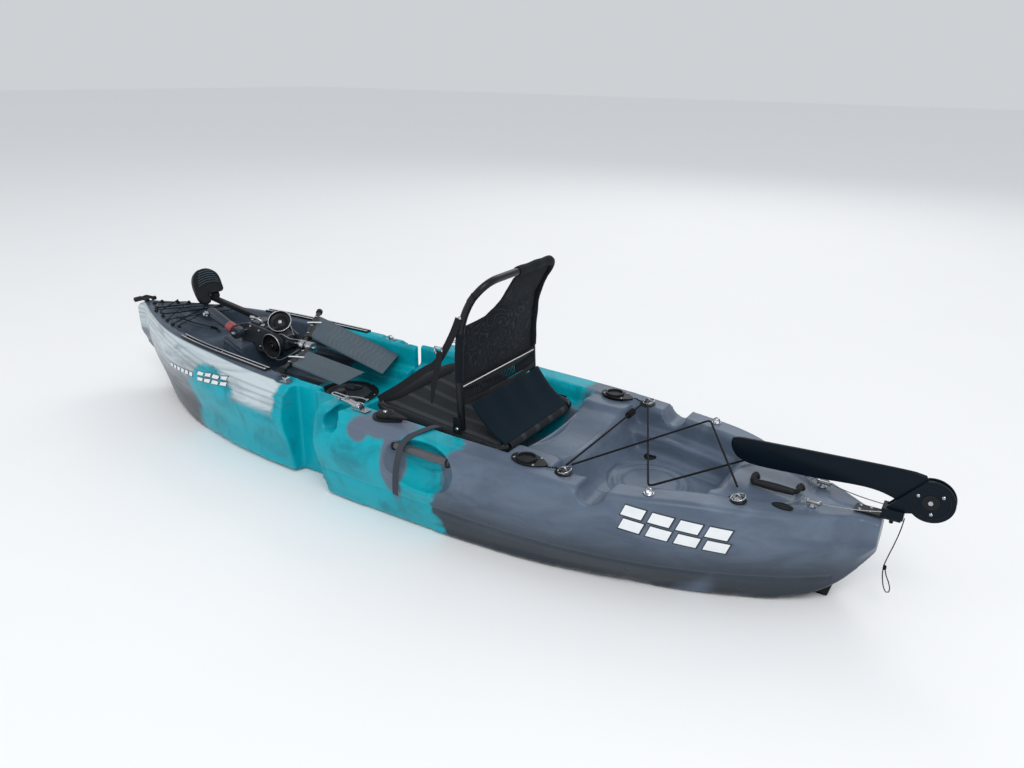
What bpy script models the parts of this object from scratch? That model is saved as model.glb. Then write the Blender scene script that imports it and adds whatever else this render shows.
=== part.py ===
"""Two-section sit-on-top pedal kayak with a fin pedal drive lying on its deck.

Metres, +X to the bow, +Y to port, +Z up.  The hull's own stations are measured from
the middle of the hull; everything hangs under one empty, which shifts the hull forward
so that the whole object, rudder and bow handle included, is centred on the origin.
"""
import math

import bmesh
import bpy
from mathutils import Matrix, Vector

# Driving dimensions -----------------------------------------------------------
HULL_MID_X = 0.0521
HALF_BEAM = 0.385
BOW_HALF_BEAM = 0.330
SEAM_X = 0.20
SEAM_GAP = 0.0012
SHEER_MID = 0.322
WALL = 0.006
GAP = 0.0005

COCKPIT_FLOOR = 0.150
BOW_FLOOR = 0.190
TANK_FLOOR = 0.165
LEDGE_Z = 0.249

HATCH_X = 0.330
HATCH_HOLE_R = 0.092
WELL_SLOT = (0.485, 0.715, 0.036)
CONSOLE = (0.735, 0.905, 0.140, 0.328)
ROD_HOLDER = (-0.612, 0.287)
NOTCH = (-0.830, 0.296, 0.040)
GRIP_X = -0.305
GRIP_R = 0.0125
GRIP_R_FAR = 0.0135
LATCH_X = 0.045
KEEPER = (0.345, 0.270)
KEEPER_DEPTH = 0.014

SEAT_HALF = 0.225
SEAT_FRONT_X = -0.012
SEAT_REAR_X = -0.478
SEAT_HINGE = (-0.335, 0.300)
TUBE_R = 0.0125

AXLE_X = 0.775
AXLE_Z = 0.372
FIN_AXIS = (0.022, 0.345)
RUDDER_POST_X = -1.513
BLADE_PIVOT = (-1.590, 0.346)

SIDES = (("port", 1), ("starboard", -1))


# Materials --------------------------------------------------------------------
def material(name, colour, roughness, metallic=0.0):
    mat = bpy.data.materials.new(name)
    mat.use_nodes = True
    shader = mat.node_tree.nodes["Principled BSDF"]
    shader.inputs["Base Color"].default_value = (*colour, 1.0)
    shader.inputs["Roughness"].default_value = roughness
    shader.inputs["Metallic"].default_value = metallic
    mat.diffuse_color = (*colour, 1.0)
    return mat


for old in list(bpy.data.objects):
    bpy.data.objects.remove(old, do_unlink=True)

GREY_HULL = material("slate_polyethylene", (0.13, 0.16, 0.21), 0.45)
BLACK = material("black_plastic", (0.012, 0.013, 0.015), 0.5)
RUBBER = material("black_rubber", (0.01, 0.01, 0.01), 0.8)
STEEL = material("stainless_steel", (0.62, 0.62, 0.60), 0.25, 1.0)
ALLOY = material("black_anodised_tube", (0.02, 0.021, 0.024), 0.35, 0.6)
PLATE = material("grey_drive_plate", (0.30, 0.32, 0.35), 0.4, 0.5)
FIN = material("grey_fin_rubber", (0.10, 0.11, 0.13), 0.6)
FABRIC = material("black_mesh_fabric", (0.015, 0.017, 0.022), 0.9)
WEBBING = material("grey_webbing", (0.06, 0.065, 0.075), 0.85)
CORD = material("black_cord", (0.01, 0.01, 0.01), 0.8)

KAYAK = bpy.data.objects.new("kayak", None)
KAYAK.location = (HULL_MID_X, 0.0, 0.0)
bpy.context.scene.collection.objects.link(KAYAK)


# Building blocks --------------------------------------------------------------
def box(lo, hi):
    """Axis-aligned block between two corners."""
    bm = bmesh.new()
    bmesh.ops.create_cube(bm, size=1.0)
    lo = Vector(lo)
    hi = Vector(hi)
    size = hi - lo
    bm.transform(Matrix.Translation((lo + hi) / 2) @ Matrix.Diagonal((*size, 1.0)))
    return bm


def rod(start, end, radius, sides=12, radius_end=None):
    """Solid cylinder, or a cone frustum, between two points."""
    start = Vector(start)
    end = Vector(end)
    bm = bmesh.new()
    tip = radius if radius_end is None else radius_end
    length = (end - start).length
    bmesh.ops.create_cone(bm, cap_ends=True, cap_tris=False, segments=sides,
                          radius1=radius, radius2=tip, depth=length)
    turn = (end - start).to_track_quat("Z", "Y").to_matrix().to_4x4()
    bm.transform(Matrix.Translation((start + end) / 2) @ turn)
    return bm


def ring(start, end, outer, inner, sides=16):
    """Thick-walled sleeve between two points."""
    start = Vector(start)
    end = Vector(end)
    bm = bmesh.new()
    turn = (end - start).to_track_quat("Z", "Y").to_matrix().to_4x4()
    place = Matrix.Translation(start) @ turn
    length = (end - start).length
    profile = [(inner, 0.0), (outer, 0.0), (outer, length), (inner, length)]
    loops = []
    for radius, height in profile:
        loop = []
        for k in range(sides):
            angle = 2 * math.pi * k / sides
            point = (radius * math.cos(angle), radius * math.sin(angle), height)
            loop.append(bm.verts.new(place @ Vector(point)))
        loops.append(loop)
    for i in range(4):
        bridge(bm, loops[i], loops[(i + 1) % 4])
    return bm


def bridge(bm, first, second):
    count = len(first)
    for k in range(count):
        nxt = (k + 1) % count
        bm.faces.new((first[k], first[nxt], second[nxt], second[k]))


def prism(outline, offset):
    """Flat outline of 3-D points pushed along an offset vector."""
    bm = bmesh.new()
    offset = Vector(offset)
    near = [bm.verts.new(Vector(p)) for p in outline]
    far = [bm.verts.new(Vector(p) + offset) for p in outline]
    bridge(bm, near, far)
    bm.faces.new(near)
    bm.faces.new(list(reversed(far)))
    return bm


def loft(loops):
    """Closed skin through loops of 3-D points, capped at both ends."""
    bm = bmesh.new()
    rows = [[bm.verts.new(p) for p in loop] for loop in loops]
    for first, second in zip(rows, rows[1:]):
        bridge(bm, first, second)
    bm.faces.new(rows[0])
    bm.faces.new(list(reversed(rows[-1])))
    return bm


def merged(*parts):
    """Several separate solids in one mesh, for cutters."""
    mesh = bpy.data.meshes.new("merge")
    bm = bmesh.new()
    for part in parts:
        part.to_mesh(mesh)
        bm.from_mesh(mesh)
        part.free()
    bpy.data.meshes.remove(mesh)
    return bm


def add(name, bm, mat, origin=(0.0, 0.0, 0.0), sharp=35.0):
    """Turn a mesh in hull coordinates into a named object with its own origin."""
    bm.normal_update()
    bmesh.ops.recalc_face_normals(bm, faces=bm.faces)
    bm.transform(Matrix.Translation(-Vector(origin)))
    mesh = bpy.data.meshes.new(name)
    bm.to_mesh(mesh)
    bm.free()
    mesh.materials.append(mat)
    mesh.shade_smooth()
    mesh.set_sharp_from_angle(angle=math.radians(sharp))
    obj = bpy.data.objects.new(name, mesh)
    obj.location = origin
    obj.parent = KAYAK
    bpy.context.scene.collection.objects.link(obj)
    return obj


def helper(name, bm):
    """A hidden solid that another one is cut by or joined to."""
    obj = add(name, bm, BLACK)
    obj.hide_render = True
    obj.display_type = "WIRE"
    obj.hide_set(True)
    return obj


def combine(target, other, operation):
    mod = target.modifiers.new(f"{operation.lower()}_{other.name}", "BOOLEAN")
    mod.operation = operation
    mod.solver = "EXACT"
    mod.object = other


def cut(target, name, bm):
    combine(target, helper(name, bm), "DIFFERENCE")


def fuse(target, name, bm):
    combine(target, helper(name, bm), "UNION")


def smooth_path(points, step, closed=False):
    """Catmull-Rom curve through the points, with a point about every step."""
    pts = [Vector(p) for p in points]
    count = len(pts)
    out = []
    spans = count if closed else count - 1
    for i in range(spans):
        b = pts[i]
        c = pts[(i + 1) % count]
        a = pts[(i - 1) % count] if closed or i > 0 else b + (b - c)
        d = pts[(i + 2) % count] if closed or i + 2 < count else c + (c - b)
        steps = max(1, round((c - b).length / step))
        for k in range(steps):
            t = k / steps
            out.append(0.5 * (2 * b + (c - a) * t + (2 * a - 5 * b + 4 * c - d) * t * t
                              + (3 * b - a - 3 * c + d) * t ** 3))
    if not closed:
        out.append(pts[-1])
    return out


def pipe(name, points, radius, mat, origin=(0.0, 0.0, 0.0), closed=False, sides=2):
    """Round bar along a list of points: a bevelled curve with filled caps."""
    curve = bpy.data.curves.new(name, "CURVE")
    curve.dimensions = "3D"
    curve.bevel_depth = radius
    curve.bevel_resolution = sides
    curve.render_resolution_u = 0
    curve.use_fill_caps = True
    spline = curve.splines.new("POLY")
    spline.points.add(len(points) - 1)
    for slot, point in zip(spline.points, points):
        slot.co = (*(Vector(point) - Vector(origin)), 1.0)
    spline.use_cyclic_u = closed
    curve.materials.append(mat)
    obj = bpy.data.objects.new(name, curve)
    obj.location = origin
    obj.parent = KAYAK
    bpy.context.scene.collection.objects.link(obj)
    return obj


def rounded(points, radius, steps=3):
    """Open path with each corner replaced by an arc-like bend."""
    pts = [Vector(p) for p in points]
    out = [pts[0]]
    for before, corner, after in zip(pts, pts[1:], pts[2:]):
        a = corner + (before - corner).normalized() * radius
        c = corner + (after - corner).normalized() * radius
        for k in range(steps + 1):
            t = k / steps
            out.append(a.lerp(corner, t).lerp(corner.lerp(c, t), t))
    out.append(pts[-1])
    return out


# Hull lines -------------------------------------------------------------------
def ramp(x, start, end, low, high):
    """Smooth change from low at start to high at end."""
    t = min(1.0, max(0.0, (x - start) / (end - start)))
    return low + (high - low) * t * t * (3 - 2 * t)


def sheer(x):
    """Height of the gunwale's flat top: a gentle sheer with a hump beside the tank well."""
    hump = 0.012 * math.exp(-((x + 1.06) / 0.13) ** 2)
    return SHEER_MID + 0.0317 * x - 0.002 * x * x + hump - ramp(x, 1.46, 1.51, 0.0, 0.018)


def shoulder(x):
    """How far the gunwale's top falls to its outer edge."""
    if x > SEAM_X:
        return ramp(x, 0.6, 1.2, 0.030, 0.006)
    return ramp(x, -0.40, -0.95, 0.016, 0.005)


def half_breadth(x):
    """Half width at the gunwale's outer edge."""
    if x > 0.25:
        return max(0.026, BOW_HALF_BEAM * (1 - ((x - 0.25) / 1.25) ** 2.25))
    if x > SEAM_X:
        return BOW_HALF_BEAM
    if x > -0.25:
        return ramp(x, -0.15, 0.2, HALF_BEAM, 0.378)
    return max(0.045, HALF_BEAM * (1 - ((-0.25 - x) / 1.25) ** 2.8))


def keel(x):
    """Height of the bottom: flat amidships, rising to the bow and the stern."""
    if x > 0.86:
        return 0.17 * ((x - 0.86) / 0.65) ** 2.8
    if x < -1.12:
        return 0.17 * ((-1.12 - x) / 0.375) ** 4.5
    return 0.0


def bilge(x):
    """Half width of the flat bottom."""
    if x > SEAM_X:
        return max(0.003, 0.295 * (1 - (max(0.0, x - 0.3) / 1.12) ** 2.2))
    if x < -0.1:
        return max(0.014, 0.345 * (1 - ((-0.1 - x) / 1.39) ** 2.6))
    return 0.345


def well_half(x):
    """Half width between the gunwales' inner edges."""
    if x > SEAM_X:
        rail = ramp(x, 0.5, 1.15, 0.092, 0.048)
    else:
        rail = ramp(x, -0.55, -0.75, 0.110, 0.088)
    return max(0.004, half_breadth(x) - rail)


def floor_height(x):
    """Height of the well's floor along the boat."""
    deck = sheer(x) - 0.006
    if x > SEAM_X:
        if x > 1.20:
            return ramp(x, 1.20, 1.38, 0.268, deck)
        return ramp(x, 0.98, 1.06, BOW_FLOOR, 0.268)
    if x > -0.55:
        return ramp(x, -0.49, -0.54, COCKPIT_FLOOR, 0.280)
    if x > -0.66:
        return 0.280
    return max(ramp(x, -0.66, -0.745, 0.280, TANK_FLOOR), ramp(x, -1.03, -1.11, TANK_FLOOR, deck))


def ledge_height(x):
    """Height of the shelf half-way down the well's wall."""
    if x > SEAM_X:
        return max(LEDGE_Z - 0.01, floor_height(x) + 0.012)
    if x > -0.55:
        return max(LEDGE_Z, floor_height(x) + 0.012)
    return max(0.225, floor_height(x) + 0.012)


def half_section(x):
    """Half of the hull's cross-section, from the keel round to the floor's middle."""
    top = sheer(x)
    bottom = keel(x)
    tall = top - bottom
    edge = half_breadth(x)
    flat = min(bilge(x), edge * 0.9)
    swell = 0.018 * min(1.0, edge / 0.2)
    fall = shoulder(x)
    full = ramp(x, 0.5, 1.4, 1.0, 0.95)
    inner = well_half(x)
    flat_out = min(edge - 1.5 * fall - 0.004, edge * 0.97)
    shelf = ledge_height(x)
    ground = floor_height(x)
    shelf_in = max(0.003, inner * 0.80)
    return [
        (0.0, bottom),
        (flat * 0.93, bottom + 0.002 * tall / 0.3),
        (min(flat + 0.6 * swell, edge * 0.94), bottom + 0.10 * tall),
        (edge * full - 0.4 * swell, bottom + 0.33 * tall),
        ((edge + swell) * (0.35 + 0.65 * full), bottom + 0.62 * tall),
        (edge + 0.6 * swell, bottom + 0.80 * tall),
        (edge, top - fall - 0.004),
        (flat_out, top),
        (inner + min(0.010, 0.3 * (flat_out - inner)), top),
        (inner, top - 0.005 if ground > top - 0.02 else top - 0.012),
        (inner * 0.985, shelf + 0.004 if shelf < top - 0.03 else top - 0.0056),
        (shelf_in, shelf if shelf < top - 0.03 else top - 0.0058),
        (shelf_in * 0.96, ground + 0.006 if ground < top - 0.03 else top - 0.0059),
        (shelf_in * 0.86, ground),
        (0.0, ground),
    ]


def full_loop(x, half):
    """Mirror a half-section into the closed loop at station x."""
    right = [(x, y, z) for y, z in half]
    left = [(x, -y, z) for y, z in reversed(half[1:-1])]
    return right + left


def shrink(loop, depth):
    """Move a closed loop in the YZ plane inwards by depth."""
    count = len(loop)
    area = sum(loop[k][1] * loop[(k + 1) % count][2] - loop[(k + 1) % count][1] * loop[k][2]
               for k in range(count))
    turn = 1.0 if area > 0 else -1.0
    out = []
    for k in range(count):
        before = Vector(loop[k - 1][1:])
        here = Vector(loop[k][1:])
        after = Vector(loop[(k + 1) % count][1:])
        first = (here - before).normalized()
        second = (after - here).normalized()
        n1 = Vector((-first.y, first.x)) * turn
        n2 = Vector((-second.y, second.x)) * turn
        bisector = (n1 + n2).normalized()
        reach = depth / max(0.45, bisector.dot(n1))
        moved = here + bisector * reach
        out.append((loop[k][0], moved.x, moved.y))
    return out


def hull_skin(stations):
    return loft([full_loop(x, half_section(x)) for x in stations])


def hull_cavity(stations):
    return loft([shrink(full_loop(x, half_section(x)), WALL) for x in stations])


def both_sides(maker):
    """Cutter with one solid on each side of the boat."""
    return merged(maker(1), maker(-1))


def notch_cutter(grow):
    x, z, radius = NOTCH

    def one(side):
        inner = well_half(x) - 0.030 - grow
        return rod((x, side * inner, z), (x, side * 0.46, z), radius + grow, 16)
    return both_sides(one)


def latch_cutter(grow):
    """Scoop in the gunwale at the forward corner, under each latch."""
    def one(side):
        z = sheer(LATCH_X) - 0.026
        return rod((LATCH_X, side * (0.300 - grow), z), (LATCH_X, side * 0.46, z - 0.02),
                   0.030 + grow, 14)
    return both_sides(one)


def grip_cutter(grow):
    """Bowl scooped out of the side behind each carry grip."""
    def one(side):
        bm = bmesh.new()
        bmesh.ops.create_uvsphere(bm, u_segments=14, v_segments=8, radius=1.0)
        size = (0.128 + grow, 0.075 + grow, 0.086 + grow, 1.0)
        bm.transform(Matrix.Translation((GRIP_X, side * 0.412, 0.242)) @ Matrix.Diagonal(size))
        return bm
    return both_sides(one)


def corner_cutter(x_lo, x_hi, inner, grow):
    """Square notch at the seam's outer corner."""
    def one(side):
        y = sorted((side * (inner - grow), side * 0.5))
        return box((x_lo - grow, y[0], -0.1), (x_hi + grow, y[1], 0.5))
    return both_sides(one)


# Hull sections ----------------------------------------------------------------
def stern_section():
    stations = [SEAM_X - SEAM_GAP, 0.10, 0.0, -0.15, -0.30, -0.45, -0.49, -0.54, -0.66,
                -0.705, -0.745, -0.85, -0.95, -1.03, -1.07, -1.11, -1.22, -1.32, -1.39,
                -1.44, -1.475, -1.495]
    hull = add("stern_hull", hull_skin(stations), GREY_HULL, sharp=50)
    inside = [x for x in stations if x > -1.45]
    inside[0] -= WALL
    cavity = helper("stern_cavity", hull_cavity(inside))
    cut(cavity, "stern_notch_wall", notch_cutter(WALL))
    cut(cavity, "stern_latch_wall", latch_cutter(WALL))
    cut(cavity, "stern_grip_wall", grip_cutter(WALL))
    cut(cavity, "stern_corner_wall", corner_cutter(0.112, 0.4, 0.285, WALL))
    combine(hull, cavity, "DIFFERENCE")
    cut(hull, "stern_corner", corner_cutter(0.112, 0.4, 0.285, 0.0))
    cut(hull, "stern_notch", notch_cutter(0.0))
    cut(hull, "stern_latch", latch_cutter(0.0))
    cut(hull, "stern_grip", grip_cutter(0.0))
    cut(hull, "grip_sockets", both_sides(grip_socket))
    fuse(hull, "stern_tongues", both_sides(tongue))
    cut(hull, "rod_holder_holes", both_sides(rod_holder_hole))
    return hull


def tongue(side):
    """Guide block that reaches forward past the seam's outer corner."""
    y = sorted((side * 0.318, side * 0.366))
    return box((0.105, y[0], 0.215), (0.176, y[1], 0.272))


def rod_holder_hole(side):
    x, y = ROD_HOLDER
    top = sheer(x)
    return rod((x, side * y, top - 0.05), (x, side * y, top + 0.02), 0.0275, 20)


def bow_section():
    stations = [SEAM_X + SEAM_GAP, 0.30, 0.42, 0.54, 0.66, 0.80, 0.92, 0.98, 1.02, 1.06,
                1.20, 1.29, 1.38, 1.44, 1.475, 1.497, 1.51]
    hull = add("bow_hull", hull_skin(stations), GREY_HULL, sharp=50)
    inside = [x for x in stations if x < 1.40]
    inside[0] += WALL
    cavity = helper("bow_cavity", hull_cavity(inside))
    fuse(cavity, "console_hollow", console_block(-WALL, BOW_FLOOR - 0.03))
    cut(cavity, "well_wall", well_slot(WALL))
    cut(cavity, "keeper_wall", both_sides(keeper_wall))
    cut(cavity, "bow_corner_wall", corner_cutter(0.1, 0.305, 0.262, WALL))
    fuse(hull, "console_block", console_block(0.0, BOW_FLOOR - WALL / 2))
    combine(hull, cavity, "DIFFERENCE")
    cut(hull, "bow_corner", corner_cutter(0.1, 0.305, 0.262, 0.0))
    cut(hull, "well_hole", well_slot(0.0))
    cut(hull, "keeper_recesses", both_sides(keeper_recess))
    hatch = rod((HATCH_X, 0, BOW_FLOOR - 0.03), (HATCH_X, 0, BOW_FLOOR + 0.03), HATCH_HOLE_R, 24)
    cut(hull, "hatch_hole", hatch)
    return hull


def keeper_recess(side):
    """Flat-bottomed step in the gunwale's aft corner for the latch keeper."""
    x, y = KEEPER
    low = sheer(x) - KEEPER_DEPTH
    y = sorted((side * (y - 0.020), side * 0.4))
    return box((x - 0.1, y[0], low), (x + 0.035, y[1], low + 0.1))


def keeper_wall(side):
    x, y = KEEPER
    low = sheer(x) - KEEPER_DEPTH - WALL
    y = sorted((side * (y - 0.020 - WALL), side * 0.4))
    return box((x - 0.12, y[0], low), (x + 0.035 + WALL, y[1], low + 0.1))


def console_block(grow, bottom):
    """Raised block in front of the drive, narrower at the top."""
    x0, x1, half, top = CONSOLE
    top = top + grow
    outline = [(x0 - grow, -half - grow), (x1 + grow, -half * 0.62 - grow),
               (x1 + grow, half * 0.62 + grow), (x0 - grow, half + grow)]
    loops = []
    for z, scale in ((bottom, 1.0), (top - 0.012, 0.94), (top, 0.88)):
        mid = (x0 + x1) / 2
        loops.append([(mid + (x - mid) * scale, y * scale, z) for x, y in outline])
    return loft(loops)


def well_slot(grow):
    """Slot down through the hull that the drive drops into."""
    x0, x1, half = WELL_SLOT
    return box((x0 - grow, -half - grow, -0.05), (x1 + grow, half + grow, 0.24))


def skid_plate():
    """Wear block under the stern."""
    outline = [(-1.415, 0.0, 0.070), (-1.400, 0.0, 0.0015), (-1.345, 0.0, 0.0015),
               (-1.265, 0.0, 0.0275)]
    bottom = [(x, -0.020, z) for x, _, z in outline]
    plate = add("skid_plate", prism(bottom, (0.0, 0.040, 0.0)), GREY_HULL)
    stations = (-1.20, -1.22, -1.32, -1.39, -1.44)
    under = [[(x, y, z) for y, z in ((-0.05, keel(x) - 0.0008), (0.05, keel(x) - 0.0008),
                                    (0.05, 0.2), (-0.05, 0.2))] for x in stations]
    cut(plate, "skid_top", loft(under))


# Deck fittings ----------------------------------------------------------------
def hatch():
    """Threaded rim in the floor, and its twist-off lid."""
    z = BOW_FLOOR
    rim = add("hatch_rim", ring((HATCH_X, 0, z - 0.022), (HATCH_X, 0, z + 0.0005), 0.0905, 0.083, 32),
              BLACK)
    flange = ring((HATCH_X, 0, z + GAP), (HATCH_X, 0, z + 0.008), 0.112, 0.083, 32)
    fuse(rim, "hatch_flange", flange)
    lid = add("hatch_lid", rod((HATCH_X, 0, z - 0.012), (HATCH_X, 0, z + 0.011), 0.0822, 32),
              BLACK, origin=(HATCH_X, 0.0, z))
    fuse(lid, "hatch_lid_grip", box((HATCH_X - 0.066, -0.011, z + 0.008),
                                    (HATCH_X + 0.066, 0.011, z + 0.022)))


def gear_track(name, side, start, end):
    """Aluminium accessory rail along the gunwale."""
    loops = []
    steps = 5
    for k in range(steps + 1):
        x = start + (end - start) * k / steps
        y = side * (well_half(x) + 0.026)
        z = sheer(x) + 0.0008
        loops.append([(x, y - 0.013, z), (x, y + 0.013, z), (x, y + 0.013, z + 0.007),
                      (x, y + 0.005, z + 0.007), (x, y + 0.005, z + 0.003),
                      (x, y - 0.005, z + 0.003), (x, y - 0.005, z + 0.007),
                      (x, y - 0.013, z + 0.007)])
    add(name, loft(loops), ALLOY)


def rod_holder(name, side):
    """Flush rod holder: a flanged plate with a cup that goes down into the hull."""
    x, y = ROD_HOLDER
    y = side * y
    top = sheer(x) + 0.0012
    cup = rod((x, y, top - 0.150), (x, y, top + 0.0015), 0.0265, 20)
    holder = add(name, cup, BLACK)
    outline = []
    for k in range(12):
        angle = 2 * math.pi * k / 12
        px = x + 0.052 * math.cos(angle)
        outline.append((px, y + 0.036 * math.sin(angle), sheer(px) + 0.0015))
    fuse(holder, name + "_plate", prism(outline, (0.0, 0.0, 0.0035)))
    cut(holder, name + "_bore", rod((x, y, top - 0.144), (x, y, top + 0.02), 0.0235, 20))


def pad_eye(name, x, y, z):
    """Stainless pad eye: a base plate with an arched loop."""
    plate = add(name, rod((x, y, z), (x, y, z + 0.003), 0.015, 12), STEEL)
    loop = []
    for k in range(9):
        angle = math.pi * k / 8
        loop.append((x + 0.010 * math.cos(angle), y, z + 0.002 + 0.014 * math.sin(angle)))
    rows = []
    for point in loop:
        rows.append(Vector(point))
    fuse(plate, name + "_loop", swept(rows, 0.0024, 6))


def swept(points, radius, sides):
    """Solid round bar along points that stay in a plane of constant Y."""
    loops = []
    for k, point in enumerate(points):
        before = points[max(0, k - 1)]
        after = points[min(len(points) - 1, k + 1)]
        ahead = (after - before).normalized()
        side = Vector((0.0, 1.0, 0.0))
        up = ahead.cross(side)
        loop = []
        for j in range(sides):
            angle = 2 * math.pi * j / sides
            loop.append(point + side * radius * math.cos(angle) + up * radius * math.sin(angle))
        loops.append(loop)
    return loft(loops)


def deck_lines():
    """Crossed shock cords in the bow well and over the tank well."""
    rise = 0.007
    bow_a = [(1.335, 0.052, 0), (1.22, -0.105, 0), (1.10, 0.150, 0)]
    bow_b = [(1.335, -0.052, 0), (1.22, 0.105, 0), (1.10, -0.150, 0)]
    for name, route, lift in (("bow_bungee_a", bow_a, 0.004), ("bow_bungee_b", bow_b, 0.014)):
        points = [(x, y, sheer(x) + lift) for x, y, _ in route]
        pipe(name, smooth_path(points, 0.05), 0.003, CORD)
    a = [(-0.737, -0.262), (-0.952, 0.243), (-1.150, -0.120)]
    b = [(-0.737, 0.262), (-0.952, -0.243), (-1.150, 0.120)]
    for name, route, lift in (("tank_bungee_a", a, rise), ("tank_bungee_b", b, rise + 0.009)):
        points = [(x, y, sheer(x) + lift) for x, y in route]
        pipe(name, rounded(points, 0.02), 0.0025, CORD)
    z = sheer(-0.72) + rise
    pipe("tank_bungee_tie", [(-0.718, 0.258, z), (-0.718, 0.10, z), (-0.718, -0.10, z),
                             (-0.718, -0.258, z)], 0.0025, CORD)


def carry_handle(name, x, z, half_width, route):
    """Webbing-and-grip handle that swings about a transverse pin."""
    origin = (x, 0.0, z)
    points = [(x + u, side * half_width, z + v) for side in (-1, 1)
              for u, v in (route if side < 0 else reversed(route))]
    pipe(name, rounded(points, 0.010, 2), 0.0065, RUBBER, origin)


def stern_handle():
    """Grip along the stern deck that swings up about its two end lugs."""
    y, z = 0.006, sheer(-1.23) + 0.0095
    origin = (-1.225, y, z)
    points = [(-1.165, y, z), (-1.165, y + 0.036, z + 0.001), (-1.285, y + 0.036, z + 0.001), (-1.285, y, z)]
    pipe("stern_handle", rounded(points, 0.016), 0.0065, RUBBER, origin)


def grab_handle(name, side, radius):
    """Fixed tube across the scoop in the hull's side."""
    pipe(name, grip_line(side, 0.0), radius, RUBBER, sides=4)


def grip_line(side, extra):
    """Centre line of a grab handle, from one end socket to the other."""
    reach = 0.104 + extra
    y = side * 0.374
    return [(GRIP_X - reach, y, 0.272), (GRIP_X, y, 0.274), (GRIP_X + reach, y, 0.276)]


def grip_socket(side):
    """Bore at both ends of a grab handle."""
    ends = grip_line(side, 0.0015)
    radius = (GRIP_R if side > 0 else GRIP_R_FAR) + 0.0008
    return rod(ends[0], ends[-1], radius, 12)


def rudder_cleat(name, side):
    """Steel line adjuster beside the rudder."""
    x = -1.330
    y = side * 0.062
    z = sheer(x) + 0.0008
    body = add(name, rod((x, y, z), (x, y, z + 0.010), 0.011, 12), STEEL)
    fuse(body, name + "_barrel", rod((x - 0.020, y, z + 0.013), (x + 0.014, y, z + 0.013), 0.0055, 8))


# Latches ----------------------------------------------------------------------
def latch(prefix, side):
    """Over-centre latch on the stern section and its keeper on the bow section."""
    y = side * 0.316
    x = -0.002
    z = sheer(x) + 0.0008
    base = add(prefix + "_latch_base", box((x - 0.055, y - 0.013, z), (x + 0.005, y + 0.013, z + 0.004)),
               STEEL)
    cheeks = merged(box((x - 0.030, y - 0.0125, z + 0.002), (x + 0.002, y - 0.0095, z + 0.020)),
                    box((x - 0.030, y + 0.0095, z + 0.002), (x + 0.002, y + 0.0125, z + 0.020)))
    fuse(base, prefix + "_latch_cheeks", cheeks)
    pivot = (x - 0.010, y, z + 0.013)
    lever = prism([(pivot[0] - 0.005, y - 0.009, z + 0.0080), (pivot[0] + 0.058, y - 0.009, z + 0.020),
                   (pivot[0] + 0.058, y - 0.009, z + 0.024), (pivot[0] + 0.004, y - 0.009, z + 0.0185),
                   (pivot[0] - 0.006, y - 0.009, z + 0.0160)], (0.0, 0.018, 0.0))
    add(prefix + "_latch_lever", lever, STEEL, pivot)
    pin = (x + 0.030, y, z + 0.0275)
    bail = [(pin[0], y - 0.0085, pin[2]), (pin[0] + 0.060, y - 0.0085, pin[2] + 0.004),
            (pin[0] + 0.060, y + 0.0085, pin[2] + 0.004), (pin[0], y + 0.0085, pin[2])]
    pipe(prefix + "_latch_bail", rounded(bail, 0.006, 2), 0.0022, STEEL, pin)
    kx, ky = KEEPER
    ky = side * ky
    kz = sheer(kx) - KEEPER_DEPTH + 0.0012
    keeper = add(prefix + "_keeper", box((kx - 0.016, ky - 0.014, kz), (kx + 0.022, ky + 0.014, kz + 0.004)),
                 STEEL)
    hook = [(kx - 0.004, ky - 0.009, kz + 0.003), (kx + 0.004, ky - 0.009, kz + 0.003),
            (kx + 0.002, ky - 0.009, kz + 0.012), (kx + 0.012, ky - 0.009, kz + 0.014),
            (kx + 0.012, ky - 0.009, kz + 0.017), (kx - 0.006, ky - 0.009, kz + 0.016)]
    fuse(keeper, prefix + "_keeper_hook", prism(hook, (0.0, 0.018, 0.0)))


def side_controls():
    """Steering lever on the port gunwale, and the line knob ahead of it."""
    x = -0.120
    y = 0.310
    z = sheer(x) + 0.0022
    base = rod((x, y, z), (x, y, z + 0.006), 0.034, 20)
    add("steering_base", base, BLACK)
    lever = rod((x, y, z + 0.0065), (x, y, z + 0.019), 0.026, 16)
    arm = add("steering_lever", lever, BLACK, (x, y, z))
    outline = [(x + 0.010, y + 0.018, z + 0.008), (x - 0.060, y + 0.012, z + 0.008),
               (x - 0.074, y, z + 0.008), (x - 0.060, y - 0.012, z + 0.008),
               (x + 0.010, y - 0.018, z + 0.008)]
    fuse(arm, "steering_blade", prism(outline, (0.0, 0.0, 0.008)))
    kx = 0.080
    ky = 0.288
    kz = sheer(kx) + 0.0008
    knob = add("line_knob", rod((kx, ky, kz), (kx, ky, kz + 0.018), 0.006, 10), BLACK, (kx, ky, kz))
    fuse(knob, "line_knob_head", rod((kx, ky, kz + 0.014), (kx, ky, kz + 0.032), 0.015, 12))


# Seat -------------------------------------------------------------------------
def seat_line(x):
    """Height of the seat frame's tube: it drops towards the rear."""
    t = (x - SEAT_REAR_X) / (SEAT_FRONT_X - SEAT_REAR_X)
    return 0.2635 + (0.306 - 0.2635) * t


def seat():
    seat_base()
    seat_back()


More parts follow.
